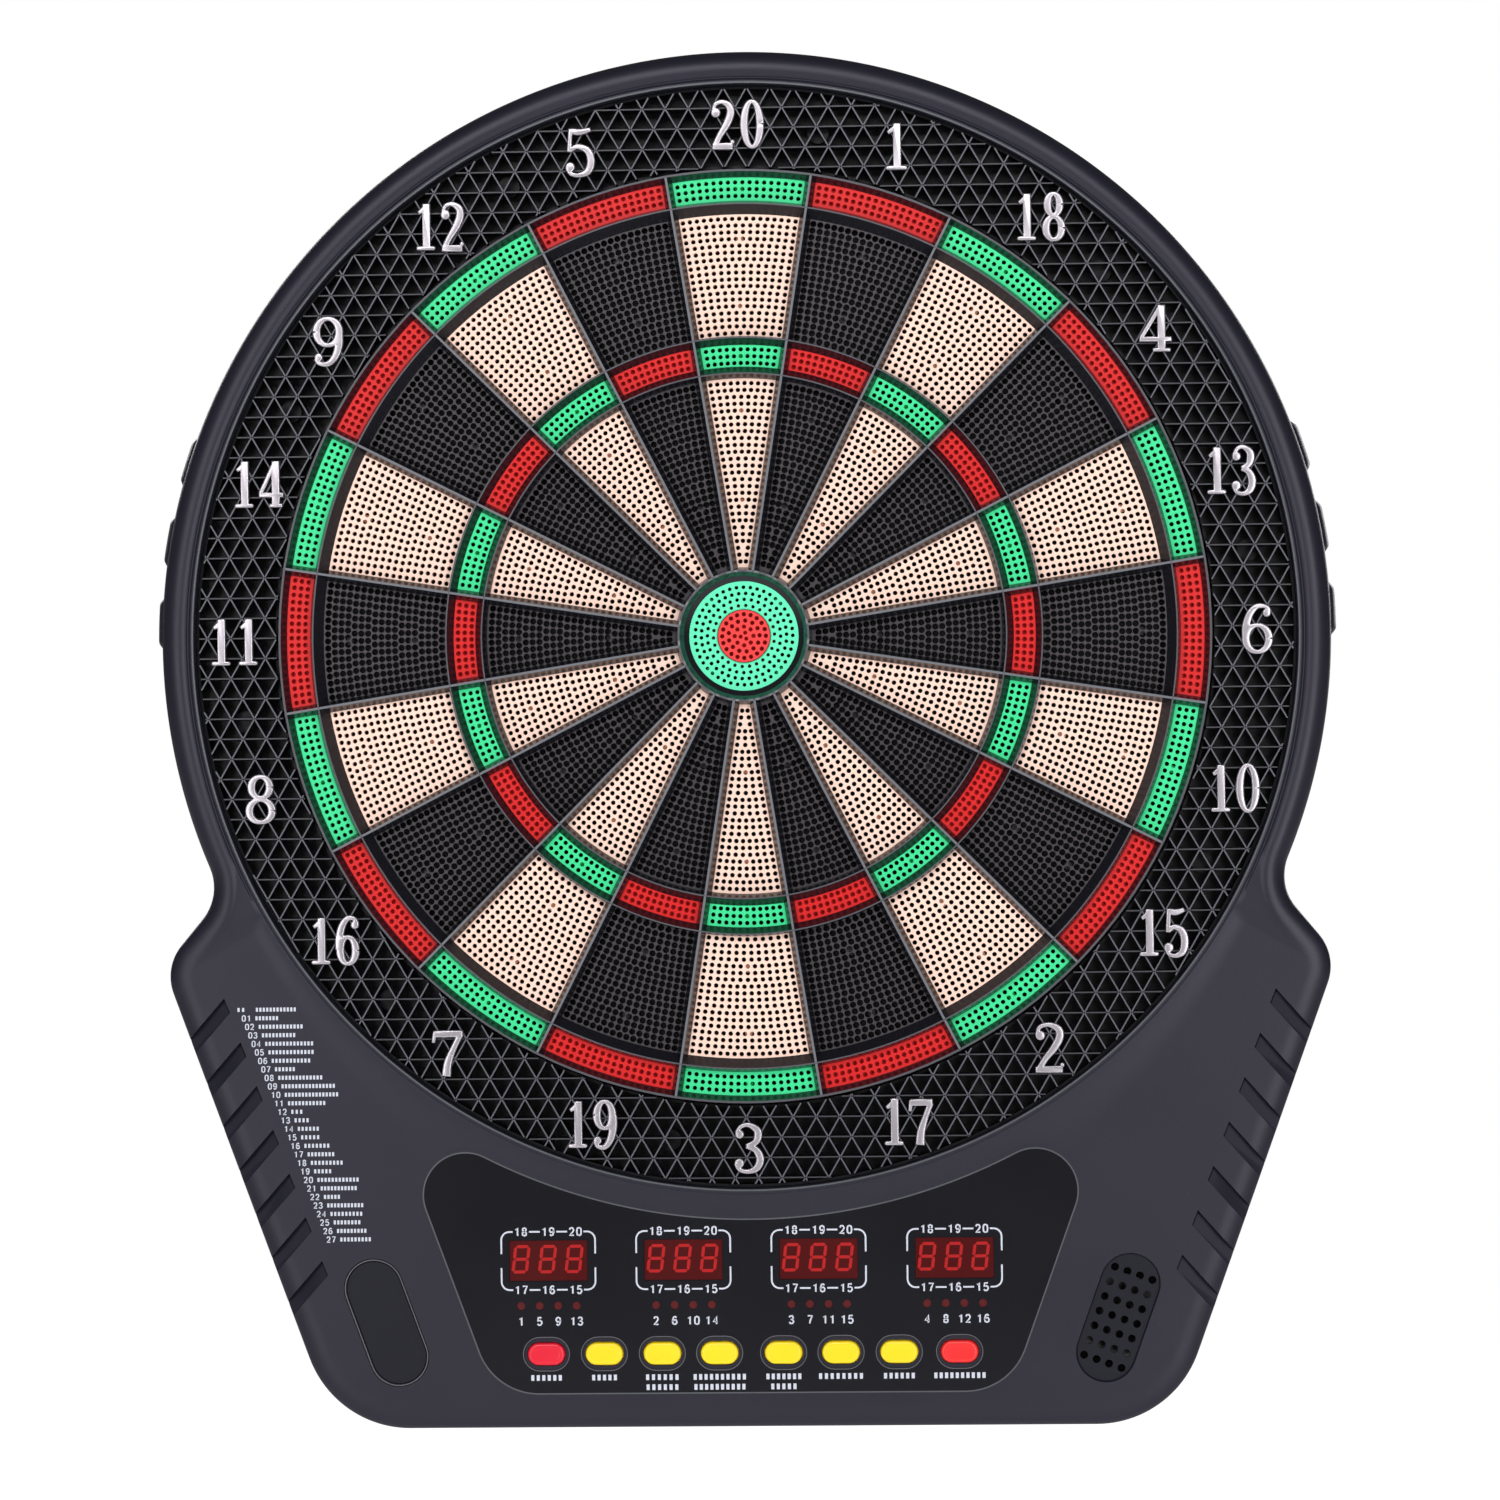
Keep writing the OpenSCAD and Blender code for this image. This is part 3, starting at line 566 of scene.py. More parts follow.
INSIDE_H = 2.45
inside_cover = Solid()
bay_wall = rounded(BAY, BAY_W + 9, BAY_T + 9, 1.5)
inside_cover.plate(bay_wall, [rounded(BAY, BAY_W, BAY_T, 0.6)[::-1]], INSIDE_H, 15.0)
inside_cover.plate(bay_wall, [], 15.0, 16.5)
for c in SCREWS:
    inside_cover.plate(circle(c, 4.2, 28), [circle(c, 1.7, 20)[::-1]], INSIDE_H, 10.95)
piece("rear_cover_bay", mesh_of("cover_bay", inside_cover, 30), "cover_plastic", nodes=["rear_cover"])


LUG_ANGLES, LUG_HALF = (2.0, 10.1, 18.2), 3.0


def lugs(foot, least, most, section):
    """Three smooth swellings a side; section gives the share of the reach past foot at each height."""
    s = Solid()
    for side in (1, -1):
        for middle in LUG_ANGLES:
            rows = []
            for k in range(25):
                t = k / 12 - 1
                a = radians(middle + LUG_HALF * t)
                reach = least + (most - least) * smoothstep((1 - abs(t)) / 0.4)
                radii = [(foot + reach * share, h) for share, h in section]
                rows.append(s.row([(side * r * cos(a), r * sin(a), h) for r, h in radii]))
            s.bands(rows)
            s.ends(rows)
    return s


# share of a lug's reach at each height, from the foot at the back to the foot at the front
COVER_LUG = [(0, 1.5), (0.75, 1.8), (0.93, 2.8), (1, 4.5), (1, 8.0), (0.97, 9.6), (0.9, 10.6), (0, 10.85)]
HOUSING_LUG = [(0, 11.3), (0.9, 11.4), (1, 12.2), (1, 15.5), (0.92, 18.2), (0.7, 20.4), (0.4, 22.0),
               (0, 22.6)]
piece("rear_cover_lugs", mesh_of("cover_lugs", lugs(214.8, 1.2, 5.8, COVER_LUG), 40), "cover_plastic",
      nodes=["rear_cover"])
piece("front_housing_lugs", mesh_of("housing_lugs", lugs(216.8, 0.8, 3.5, HOUSING_LUG), 60),
      "housing_plastic", nodes=["front_housing"])

door = Solid()
grip = obround((BAY[0], BAY[1] - 14), 22, 9)
plan = rounded(BAY, BAY_W + 5.6, BAY_T + 5.6, 0.6)
door.plate(plan, [grip[::-1]], 0.0, 0.7)
door.plate(plan, [], 0.7, 1.98)
for k in range(-3, 4):
    door.plate(rounded((BAY[0] + 2.2 * k, BAY[1] - 14), 0.9, 6.5, 0.4, 4), [], 0.15, 0.72)
door.plate(box((BAY[0], BAY[1] + 21.9), 6, 0.9), [], 1.9, 5.0)
piece("battery_door_plate", mesh_of("battery_door", door, 30), "cover_plastic", "battery_door",
      ["battery_door"])

SLOT_HALF, SLOT_REACH = 0.35, 1.6


def cross_slot(c):
    """The cross in a screw's head, anticlockwise."""
    quarter = [(SLOT_HALF, SLOT_HALF), (SLOT_HALF, SLOT_REACH), (-SLOT_HALF, SLOT_REACH)]
    return [(c[0] + x, c[1] + y) for turn in (0, 90, 180, 270) for x, y in turned(quarter, turn)]


fixings = Solid()
for x, y in SCREWS:
    fixings.plate(circle((x, y), 2.8, 28), [cross_slot((x, y))], 1.05, 2.0)
    fixings.plate(circle((x, y), 2.8, 28), [], 2.0, 3.0)
    fixings.plate(circle((x, y), 1.45, 20), [], 3.0, 19.0)
piece("housing_screw_set", mesh_of("housing_screws", fixings, 30), "steel", nodes=["housing_screws"])


# ---------- trim on the housing ----------

# Near-black plates on the grooves' floors: painted shade in the grooves.
grooves = Solid()
for side in (1, -1):
    for i in range(GROOVES):
        corners = groove(side, i, 16.2 - 0.1 * i)
        floor_rows = [grooves.loop(corners, [h + 0.04 - drop for h in GROOVE_H]) for drop in (0.35, 0.0)]
        grooves.bands(floor_rows)
        grooves.ends(floor_rows)
piece("side_groove_floors", mesh_of("grooves", grooves), "housing_plastic", nodes=["front_housing"],
      looks=("groove_shade",))

# A light grey line on the window's lip: painted highlight on its edge.
lip = Solid()
lip_rows = [lip.loop(circle((0, 0), r, 240), h)
            for r, h in ((206.5, 27.2), (206.35, 27.42), (205.85, 27.42), (205.7, 27.2))]
lip.bands(lip_rows, around=True)
piece("window_lip_edge", mesh_of("lip", lip, 30), "housing_plastic", nodes=["front_housing"],
      looks=("painted_lip_highlight",))

badge = Solid()
badge.plate(tilted_slot(-1, RECESS_R - 0.45), [], POCKET_H, 25.8, 0.2, tilted_slot(-1, RECESS_R - 0.7))
# The badge takes the same darker finish as the pocket floor: painted shade in the recess.
piece("badge_blank", mesh_of("badge", badge), "cover_plastic", nodes=["badge_plate"], looks=("pocket_painted_shade",))
# A light grey ring round the badge: painted highlight on the recess's edge.
badge_rim = Solid()
badge_rim.plate(tilted_slot(-1, RECESS_R + 0.2), [tilted_slot(-1, RECESS_R - 0.15)[::-1]], POCKET_H,
                FACE_H + 0.06)
piece("badge_rim", mesh_of("badge_rim", badge_rim), "housing_plastic", nodes=["front_housing"],
      looks=("painted_rim_highlight",))


# ---------- spider web ----------

def polar(r, a):
    """A point at radius r, a degrees clockwise from straight up."""
    return (r * sin(radians(a)), r * cos(radians(a)))


def cell(r_in, r_out, side, steps):
    """The outer arc, clockwise, and the inner arc back, of a sector that stays side off its spokes' middles."""
    a_out, a_in = 9 - degrees(asin(side / r_out)), 9 - degrees(asin(side / r_in))
    outer = [polar(r_out, -a_out + 2 * a_out * i / steps) for i in range(steps + 1)]
    inner = [polar(r_in, a_in - 2 * a_in * i / steps) for i in range(steps + 1)]
    return outer, inner


# for each ring of segments: wall widths at its inner and outer ring line and beside the spokes
WALLS = [(1.3, 1.7, 2.1), (2.7, 2.5, 2.0), (0.9, 3.6, 2.1), (1.5, 2.1, 2.0)]
SPOKE_HALF, RING_HALF, STEM_HALF = 0.42, 0.26, 0.45
HEAD_ROOT_H, STEM_H, RING_DROP = 22.15, 16.0, 0.5
STEPS = 8


def polar_turn(p, a):
    """p turned clockwise by a degrees about the bull."""
    return turned([p], -a)[0]


def ridge_height(p):
    """The spokes stand a little above the ring lines that join them."""
    a = degrees(atan2(p[0], p[1])) % 18
    off = abs(a - 9)
    across = hypot(*p) * sin(radians(off))
    return RIDGE_H - RING_DROP * smoothstep((across - 0.6) / 1.2)


def web_cells(s):
    """Loops of points round each opening of the web, by level from the back, ring and place."""
    levels = []
    for level, h in enumerate((STEM_H, HEAD_ROOT_H, HEAD_ROOT_H, None)):
        grid = []
        for r_in, r_out, (w_in, w_out, w_side) in zip(RINGS, RINGS[1:], WALLS):
            stem = (r_in + STEM_HALF, r_out - STEM_HALF, STEM_HALF)
            foot = (r_in + w_in, r_out - w_out, w_side)
            crest = (r_in + RING_HALF, r_out - RING_HALF, SPOKE_HALF)
            outer, inner = cell(*(stem, stem, foot, crest)[level], STEPS)
            row = []
            for i in range(20):
                pts = [polar_turn(p, 18 * i) for p in outer + inner]
                row.append(s.loop(pts, [ridge_height(p) for p in pts] if h is None else h))
            grid.append(row)
        levels.append(grid)
    return levels


# radius and height of the web's outer and inner edge, from the crest down; None is the crest's own height
OUTER_EDGE = [(RINGS[4] + 2 * RING_HALF, None), (174.05, 25.4), (174.5, 18.0), (174.5, 14.0), (179.0, 14.0),
              (179.0, 12.0), (172.85, 12.0), (172.85, 16.0)]
INNER_EDGE = [(RINGS[0] - 2 * RING_HALF, None), (22.3, 23.6), (20.4, HEAD_ROOT_H),
              (RINGS[0] - STEM_HALF, HEAD_ROOT_H), (RINGS[0] - STEM_HALF, STEM_H)]


def spider_web():
    s = Solid()
    n = STEPS + 1
    levels = web_cells(s)
    for z in range(4):
        for i in range(20):
            s.bands([grid[z][i] for grid in levels])
    # On the crest, the spokes' tops take the second finish, a painted highlight, and the ring lines' tops the
    # third, a fainter painted highlight.
    for grid in (levels[0], levels[3]):
        crest = grid is levels[3]
        for z in range(4):
            for i in range(20):
                a, b = grid[z][i], grid[z][(i + 1) % 20]
                spoke = len(s.faces)
                s.faces.append((a[n - 1], b[0], b[2 * n - 1], a[n]))
                if crest:
                    s.mark(spoke, 1)
                if z < 3:
                    c, d = grid[z + 1][i], grid[z + 1][(i + 1) % 20]
                    ring_line = len(s.faces)
                    for k in range(n - 1):
                        s.faces.append((a[k], a[k + 1], c[2 * n - 2 - k], c[2 * n - 1 - k]))
                    s.faces.append((a[n - 1], b[0], d[2 * n - 1], c[n]))
                    if crest:
                        s.mark(ring_line, 2)

    def edge_loops(grid):
        """The points of the grid's outermost and innermost ring line, clockwise."""
        outermost = [q for i in range(20) for q in grid[3][i][:n]]
        innermost = [q for i in range(20) for q in grid[0][i][n:][::-1]]
        return outermost, innermost

    edges = []
    for stations, line in zip((OUTER_EDGE, INNER_EDGE), edge_loops(levels[3])):
        ways = [atan2(s.points[q][0], s.points[q][1]) for q in line]
        rows = []
        for r, h in stations:
            pts = [(r * sin(a), r * cos(a)) for a in ways]
            rows.append(s.loop(pts, [ridge_height(p) for p in pts] if h is None else h))
        s.bands(rows)
        edges.append(rows)
    # The crest's bands out to the web's outer and inner edges take the fainter painted highlight too.
    for grid, k in ((levels[3], 0), (levels[0], -1)):
        rim = len(s.faces)
        for line, rows in zip(edge_loops(grid), edges):
            s.band(line, rows[k])
        if k == 0:
            s.mark(rim, 2)
    return s


piece("spider_web", mesh_of("spider_web", spider_web(), 25), "spider_plastic", nodes=["spider"],
      looks=("spider_plastic", "painted_ridge_highlight", "faint_painted_ridge_highlight"))


# ---------- scoring segments ----------

def hole_rows(zone):
    """Radius, half angle in degrees and number of holes of each row in a segment."""
    if zone == 3:
        return [(r, 9 - degrees(asin(3.6 / r)), 18) for r in (164.3, 166.85, 169.4)]
    if zone == 1:
        return [(r, 9 - degrees(asin(3.8 / r)), 11) for r in (101.9, 104.45, 107.0)]
    rows = []
    radii = [113.1 + 2.512 * k for k in range(18)] if zone == 2 else [94.4 - 2.56 * k for k in range(27)]
    for r in radii:
        half = 9 - degrees(asin(3.35 / r))
        gaps = 2 * radians(half) * r / (2.63 if zone == 2 else 2.6)
        rows.append((r, half, max(int(gaps if zone == 2 else gaps + 0.5) + 1, 2)))
    return rows


def segment_mesh(zone, hole_r, depth):
    s = Solid()
    gap = 0.75
    outer, inner = cell(RINGS[zone] + gap, RINGS[zone + 1] - gap, gap, 10)
    holes = []
    for r, half, count in hole_rows(zone):
        for k in range(count):
            a = -half + 2 * half * k / (count - 1)
            holes.append(circle(polar(r, a), hole_r, 8, radians(22.5)))
    s.plate(outer + inner, holes, SEGMENT_H - depth, SEGMENT_H)
    if depth < SEGMENT_T:
        s.plate(outer + inner, [], SEGMENT_H - SEGMENT_T, SEGMENT_H - depth)
    pegs = [[50, 84], [104.45], [124, 148], [167]][zone]
    for r in pegs:
        s.plate(circle((0, r), 1.5, 16), [], PEG_H, SEGMENT_H - SEGMENT_T + 0.02)
    return s


ZONES = ["inner_single", "triple", "outer_single", "double"]
# radius and depth of the tip holes
HOLES = {"cream_plastic": (0.92, SEGMENT_T), "black_segment": (1.26, SEGMENT_T),
         "green_plastic": (0.88, SEGMENT_T), "red_plastic": (0.95, 2.75)}
BED_COLOURS = [("cream_plastic", "black_segment"), ("green_plastic", "red_plastic")]
for zone, title in enumerate(ZONES):
    for colour, finish in enumerate(BED_COLOURS[zone % 2]):
        mesh = mesh_of("segment_" + title, segment_mesh(zone, *HOLES[finish]))
        for i in range(colour, 20, 2):
            n = ORDER[i]
            piece(f"bed_{n}_{title}", mesh, finish, f"bed_{n}", [f"bed_{n}"], spin=radians(18 * i))


def bull_mesh(r_out, r_in, rings, top, chamfer_in=0.0):
    """A disc or ring 3 thick. rings gives radius, number, turn and size of the holes in each of its rows."""
    s = Solid()
    n = 96
    holes = [circle(polar(r, 360 * k / count + turn), hole_r, 10)
             for r, count, turn, hole_r in rings for k in range(count)]
    low, high = s.loop(circle((0, 0), r_out, n), top - 3), s.loop(circle((0, 0), r_out, n), top)
    s.band(low, high)
    bottom, upper = [low], [high]
    if r_in:
        inner_low = s.loop(circle((0, 0), r_in, n), top - 3)
        inner_mid = s.loop(circle((0, 0), r_in, n), top - chamfer_in)
        inner_top = s.loop(circle((0, 0), r_in + chamfer_in, n), top)
        s.band(inner_low, inner_mid)
        s.band(inner_mid, inner_top)
        bottom.append(inner_low)
        upper.append(inner_top)
    for hole in holes:
        a, b = s.loop(hole, top - 3), s.loop(hole, top)
        s.band(a, b)
        bottom.append(a)
        upper.append(b)
    s.cap(upper)
    s.cap(bottom, False)
    return s


OUTER_BULL_HOLES = [(18.2, 44, 0, 0.74), (15.9, 38, 3, 0.74), (13.66, 32, 1, 0.72), (11.4, 26, 4, 0.7)]
INNER_BULL_HOLES = [(8.15, 20, 0, 0.85), (5.8, 13, 5, 0.85), (3.5, 8, 0, 0.85), (1.3, 3, 20, 0.8)]
green = bull_mesh(23.55, 10.0, OUTER_BULL_HOLES, SEGMENT_H, 0.45)
for a in range(0, 360, 90):
    green.plate(circle(polar(18, a + 45), 1.5, 16), [], PEG_H, SEGMENT_H - 2.98)
piece("bull_outer_ring", mesh_of("bull_outer", green), "green_plastic", "bull_outer", ["bull_outer"],
      looks=("bull_green",))

red = bull_mesh(9.7, 0, INNER_BULL_HOLES, SEGMENT_H - 0.7)
red.plate(circle((0, 0), 5, 32), [], PEG_H, SEGMENT_H - 3.68)
red.plate(circle((0, 0), 13.4, 48), [], 16.4, 17.8)
piece("bull_inner_cap", mesh_of("bull_inner", red), "red_plastic", "bull_inner", ["bull_inner"],
      looks=("bull_red",))


# ---------- catch ring ----------

CATCH_IN, CATCH_OUT, LATTICE_TOP = 174.9, 205.2, 25.0


def lattice_bar(s, a, b, top, finish):
    """A straight rib with drafted sides from a to b."""
    if hypot(b[0] - a[0], b[1] - a[1]) < 1.0:
        return
    along = heading(a, b)
    rows = []
    for half, h in ((0.55, 16.0), (0.3, top - 0.12), (0.22, top)):
        u, v = -along[1] * half, along[0] * half
        rows.append(s.loop([(a[0] + u, a[1] + v), (b[0] + u, b[1] + v), (b[0] - u, b[1] - v),
                            (a[0] - u, a[1] - v)], h))
    s.faces.append(tuple(rows[0][::-1]))
    s.band(rows[0], rows[1])
    # The top bevels and the top face take a lighter finish: a painted highlight on the rib's top.
    edge = len(s.faces)
    s.band(rows[1], rows[2])
    s.faces.append(tuple(rows[2]))
    s.mark(edge, finish)


def lattice():
    s = Solid()
    pitch, start = 7.52, (-1.0, 1.4)
    outer, inner = CATCH_OUT - 1.3, CATCH_IN + 0.1
    for turn in (0, 60, 120):
        first = start[1] * cos(radians(turn)) - start[0] * sin(radians(turn))
        for k in range(-28, 29):
            y = first + k * pitch
            if abs(y) < outer:
                x_out = sqrt(outer ** 2 - y ** 2)
                if abs(y) < inner:
                    x_in = sqrt(inner ** 2 - y ** 2)
                    spans = [(x_in, x_out), (-x_out, -x_in)]
                else:
                    spans = [(-x_out, x_out)]
                for x0, x1 in spans:
                    a, b = turned([(x0, y), (x1, y)], turn)
                    # Slanting bars take the brighter painted highlight, level bars the fainter one.
                    lattice_bar(s, a, b, LATTICE_TOP if turn else LATTICE_TOP - 0.9, 1 if turn else 2)
    return s


ring = lattice()
n_ring = 240
profile = [(CATCH_IN, 14.0), (CATCH_IN, 19.0), (CATCH_IN + 1.0, 19.0), (CATCH_IN + 1.2, 16.0),
           (CATCH_OUT - 1.2, 16.0), (CATCH_OUT - 1.0, 22.0), (CATCH_OUT, 22.0), (CATCH_OUT, 14.0)]
for k in range(10):
    ring.plate(circle(polar(190, 81 - 36 * k), 4, 24), [], 15.9, 19)
rows = [ring.loop(circle((0, 0), r, n_ring), h) for r, h in profile]
ring.bands(rows, around=True)
piece("catch_ring_lattice", mesh_of("catch_ring", ring), "black_plastic", nodes=["catch_ring"],
      looks=("black_plastic", "rib_edge", "faint_rib_edge"))


# ---------- numerals ----------

def spline(points, steps=8):
    """Smooth points through (x, y, width) stations."""
    ext = [tuple(2 * a - b for a, b in zip(points[0], points[1]))] + list(points) \
        + [tuple(2 * a - b for a, b in zip(points[-1], points[-2]))]
    found = []
    for p0, p1, p2, p3 in zip(ext, ext[1:], ext[2:], ext[3:]):
        for k in range(steps):
            t = k / steps
            found.append(tuple(0.5 * (2 * b + (c - a) * t + (2 * a - 5 * b + 4 * c - d) * t * t
                                      + (3 * b - a - 3 * c + d) * t ** 3)
                               for a, b, c, d in zip(p0, p1, p2, p3)))
    return found + [tuple(points[-1])]


def stroke_quads(path):
    """The quads of a stroke whose stations are (x, y, width)."""
    sides = []
    for i, (x, y, w) in enumerate(path):
        a, b = path[max(i - 1, 0)], path[min(i + 1, len(path) - 1)]
        along = heading(a, b)
        u, v = -along[1] * w / 2, along[0] * w / 2
        sides.append(((x + u, y + v), (x - u, y - v)))
    return [[p[1], q[1], q[0], p[0]] for p, q in zip(sides, sides[1:])]


def union_loops(polygons):
    """The outline loops of overlapping polygons."""
    verts, faces = [], []
    for pts in polygons:
        if abs(area(pts)) < 1e-6:
            continue
        if area(pts) < 0:
            pts = pts[::-1]
        faces.append(list(range(len(verts), len(verts) + len(pts))))
        verts += [Vector(p) for p in pts]
    points, _, tris, _, _, origins = delaunay_2d_cdt(verts, [], faces, 1, 1e-4)
    used = {}
    for tri, origin in zip(tris, origins):
        if origin:
            for a, b in zip(tri, tri[1:] + tri[:1]):
                used[(a, b)] = True
    follow = {}
    for a, b in used:
        if (b, a) not in used:
            follow.setdefault(a, []).append(b)
    loops = []
    while follow:
        start = next(iter(follow))
        loop, at = [start], start
        while True:
            nexts = follow[at]
            to = nexts.pop()
            if not nexts:
                del follow[at]
            if to == start:
                break
            loop.append(to)
            at = to
            if at not in follow:
                break
        if len(loop) > 2:
            loops.append([tuple(points[i]) for i in loop])
    return loops


def glyph(digit, w, t, heavy, light):
    """Outline loops of a bold serif digit about its middle, w wide and t high, with two stroke widths."""
    shapes = []

    def at(u, v):
        return ((u - 0.5) * w, (v - 0.5) * t)

    def stroke(*stations):
        shapes.extend(stroke_quads(spline([(*at(u, v), k) for u, v, k in stations])))

    def straight(*stations):
        shapes.extend(stroke_quads([(*at(u, v), k) for u, v, k in stations]))

    def ball(u, v, r):
        shapes.append(circle(at(u, v), r, 16))

    def bowl(u, v, ru, rv):
        rx, ry = ru * w - heavy / 2, rv * t - light / 2
        path = []
        for k in range(33):
            a = 2 * pi * k / 32
            x, y = at(u, v)
            path.append((x + rx * cos(a), y + ry * sin(a), light + (heavy - light) * abs(cos(a)) ** 1.3))
        shapes.extend(stroke_quads(path[:-1] + [path[0]]))

    mid = (heavy + light) / 2
    if digit == 0:
        bowl(0.5, 0.5, 0.5, 0.5)
    elif digit == 1:
        straight((0.56, 0.0, heavy), (0.56, 1.0, heavy))
        straight((0.56, 0.92, light * 1.5), (0.08, 0.8, light * 0.85))
        straight((0.02, 0.045, 0.09 * t), (1.0, 0.045, 0.09 * t))
        ball(0.06, 0.045, 0.045 * t)
        ball(0.97, 0.045, 0.045 * t)
    elif digit == 2:
        ball(0.2, 0.74, heavy * 0.6)
        stroke((0.1, 0.74, light), (0.18, 0.9, light), (0.46, 0.955, light * 1.1), (0.76, 0.87, heavy * 0.9),
               (0.81, 0.71, heavy), (0.64, 0.5, heavy * 0.95), (0.36, 0.28, mid), (0.16, 0.08, mid))
        straight((0.04, 0.06, mid), (0.9, 0.06, mid * 1.1))
        ball(0.88, 0.15, light * 0.55)
    elif digit == 3:
        ball(0.2, 0.78, heavy * 0.55)
        ball(0.18, 0.2, heavy * 0.6)
        stroke((0.1, 0.8, light), (0.24, 0.93, light), (0.48, 0.965, light * 1.1), (0.74, 0.87, heavy * 0.9),
               (0.78, 0.74, heavy), (0.68, 0.61, heavy * 0.8), (0.4, 0.54, light))
        stroke((0.4, 0.54, light), (0.7, 0.47, heavy * 0.85), (0.84, 0.29, heavy), (0.74, 0.11, heavy * 0.9),
               (0.48, 0.035, light * 1.1), (0.2, 0.07, light), (0.07, 0.2, light))
    elif digit == 4:
        straight((0.7, 0.0, heavy), (0.7, 1.0, heavy))
        straight((0.66, 0.97, light), (0.06, 0.3, light))
        straight((0.0, 0.27, light * 1.15), (1.02, 0.27, light * 1.15))
        straight((0.42, 0.04, 0.08 * t), (0.98, 0.04, 0.08 * t))
    elif digit == 5:
        stroke((0.2, 0.92, mid), (0.5, 0.9, mid), (0.84, 0.95, light))
        straight((0.2, 0.97, light), (0.15, 0.5, light))
        stroke((0.15, 0.52, light), (0.42, 0.61, light * 1.2), (0.74, 0.52, heavy * 0.9),
               (0.84, 0.31, heavy), (0.74, 0.11, heavy * 0.9), (0.46, 0.035, light * 1.1),
               (0.2, 0.07, light), (0.07, 0.2, light))
        ball(0.18, 0.2, heavy * 0.6)
    elif digit in (6, 9):
        bowl(0.5, 0.31, 0.49, 0.31)
        stroke((0.13, 0.32, heavy * 0.9), (0.15, 0.56, heavy), (0.27, 0.8, heavy * 0.9),
               (0.5, 0.95, light * 1.3), (0.78, 0.94, light), (0.9, 0.84, light))
        ball(0.8, 0.82, heavy * 0.52)
    elif digit == 7:
        straight((0.06, 0.91, mid * 1.1), (0.98, 0.91, mid * 1.1))
        straight((0.1, 0.96, light), (0.04, 0.72, light * 0.8))
        stroke((0.9, 0.9, mid), (0.68, 0.6, mid), (0.5, 0.3, heavy), (0.44, 0.0, heavy * 1.15))
    else:
        bowl(0.5, 0.745, 0.42, 0.255)
        bowl(0.5, 0.27, 0.49, 0.27)
    loops = union_loops(shapes)
    if digit == 9:
        loops = [[(-x, -y) for x, y in loop] for loop in loops]
    return loops


def thinned(loop, gap):
    """The loop without points closer than gap to the one before."""
    kept = [loop[0]]
    for p in loop[1:]:
        if hypot(p[0] - kept[-1][0], p[1] - kept[-1][1]) > gap:
            kept.append(p)
    while len(kept) > 3 and hypot(kept[0][0] - kept[-1][0], kept[0][1] - kept[-1][1]) < gap:
        kept.pop()
    return kept


def shrunk(loop, by):
    """The loop moved by that much to its left, which is inwards."""
    found = []
    for a, b, c in zip(loop[-1:] + loop[:-1], loop, loop[1:] + loop[:1]):
        before, after = heading(a, b), heading(b, c)
        # the unit vector to the left of the bend at b
        mx, my = heading((before[1] + after[1], 0), (0, before[0] + after[0]))
        reach = min(1 / max(my * before[0] - mx * before[1], 0.4), 1.6)
        found.append((b[0] + mx * by * reach, b[1] + my * by * reach))
    return found


def inside(p, loop):
    """Whether the point lies within the loop."""
    odd = False
    for a, b in zip(loop, loop[1:] + loop[:1]):
        if (a[1] > p[1]) != (b[1] > p[1]) and p[0] < a[0] + (b[0] - a[0]) * (p[1] - a[1]) / (b[1] - a[1]):
            odd = not odd
    return odd


def raised(loops, lo, hi, bevel):
    """A raised shape with rounded top edges, on a base that is as wide as the shape."""
    s = Solid()
    loops = [thinned(loop, 0.16) for loop in loops]
    loops = [loop for loop in loops if abs(area(loop)) > 0.4]
    for outer in (loop for loop in loops if area(loop) > 0):
        rims = [outer] + [loop for loop in loops if area(loop) < 0 and inside(loop[0], outer)]
        rows = [[s.loop(rim, lo) for rim in rims]]
        for k in range(4):
            a = pi / 2 * k / 3
            by, h = bevel * (1 - cos(a)), hi - bevel * (1 - sin(a))
            rows.append([s.loop(shrunk(rim, by), h) for rim in rims])
        for lower, upper in zip(rows, rows[1:]):
            for a, b in zip(lower, upper):
                s.band(a, b)
        s.cap(rows[-1])
        s.cap(rows[0], False)
    return s


for i, n in enumerate(ORDER):
    x, y = polar(NUMERAL_R, 18 * i)
    loops = []
    digits = [int(c) for c in str(n)]
    for k, d in enumerate(digits):
        wide = (7.2 if d == 1 else 11.8) if len(digits) == 1 else (6.2 if d == 1 else 9.0)
        tall = 17.4 if d in (1, 4, 7) else 18.6
        shift = 0.0 if len(digits) == 1 else (k - 0.5) * (10.2 if 1 in digits else 10.8)
        for loop in glyph(d, wide, tall, 3.0, 1.6):
            loops.append([(x + px + shift, y + py) for px, py in loop])
    digits_mesh = mesh_of(f"numeral_{n}", raised(loops, 25.1, 27.0, 0.5), 60)
    piece(f"numeral_{n}", digits_mesh, "silver_paint", nodes=["numerals"])


# ---------- control panel ----------

WELL_W, WELL_T = 17.0, 12.3
panel = Solid()
holes = [obround((x, BUTTON_Y), WELL_W, WELL_T) for x in BUTTON_XS]
for x in DISPLAY_XS:
    holes += [display_hole(x), *lamp_holes(x)]
panel.plate(panel_loop(0.5), holes, PANEL_FLOOR_H, PANEL_H, 0.1, panel_loop(0.6))
piece("panel_overlay", mesh_of("control_panel", panel), "panel_gloss", nodes=["control_panel"])
# A light grey rim round the panel: painted highlight along its lip.
panel_rim = Solid()
panel_rim.plate(panel_loop(0.02), [panel_loop(0.5)[::-1]], PANEL_FLOOR_H, PANEL_H + 0.08)
piece("panel_rim", mesh_of("panel_rim", panel_rim), "panel_gloss", nodes=["control_panel"],
      looks=("painted_lip_highlight",))


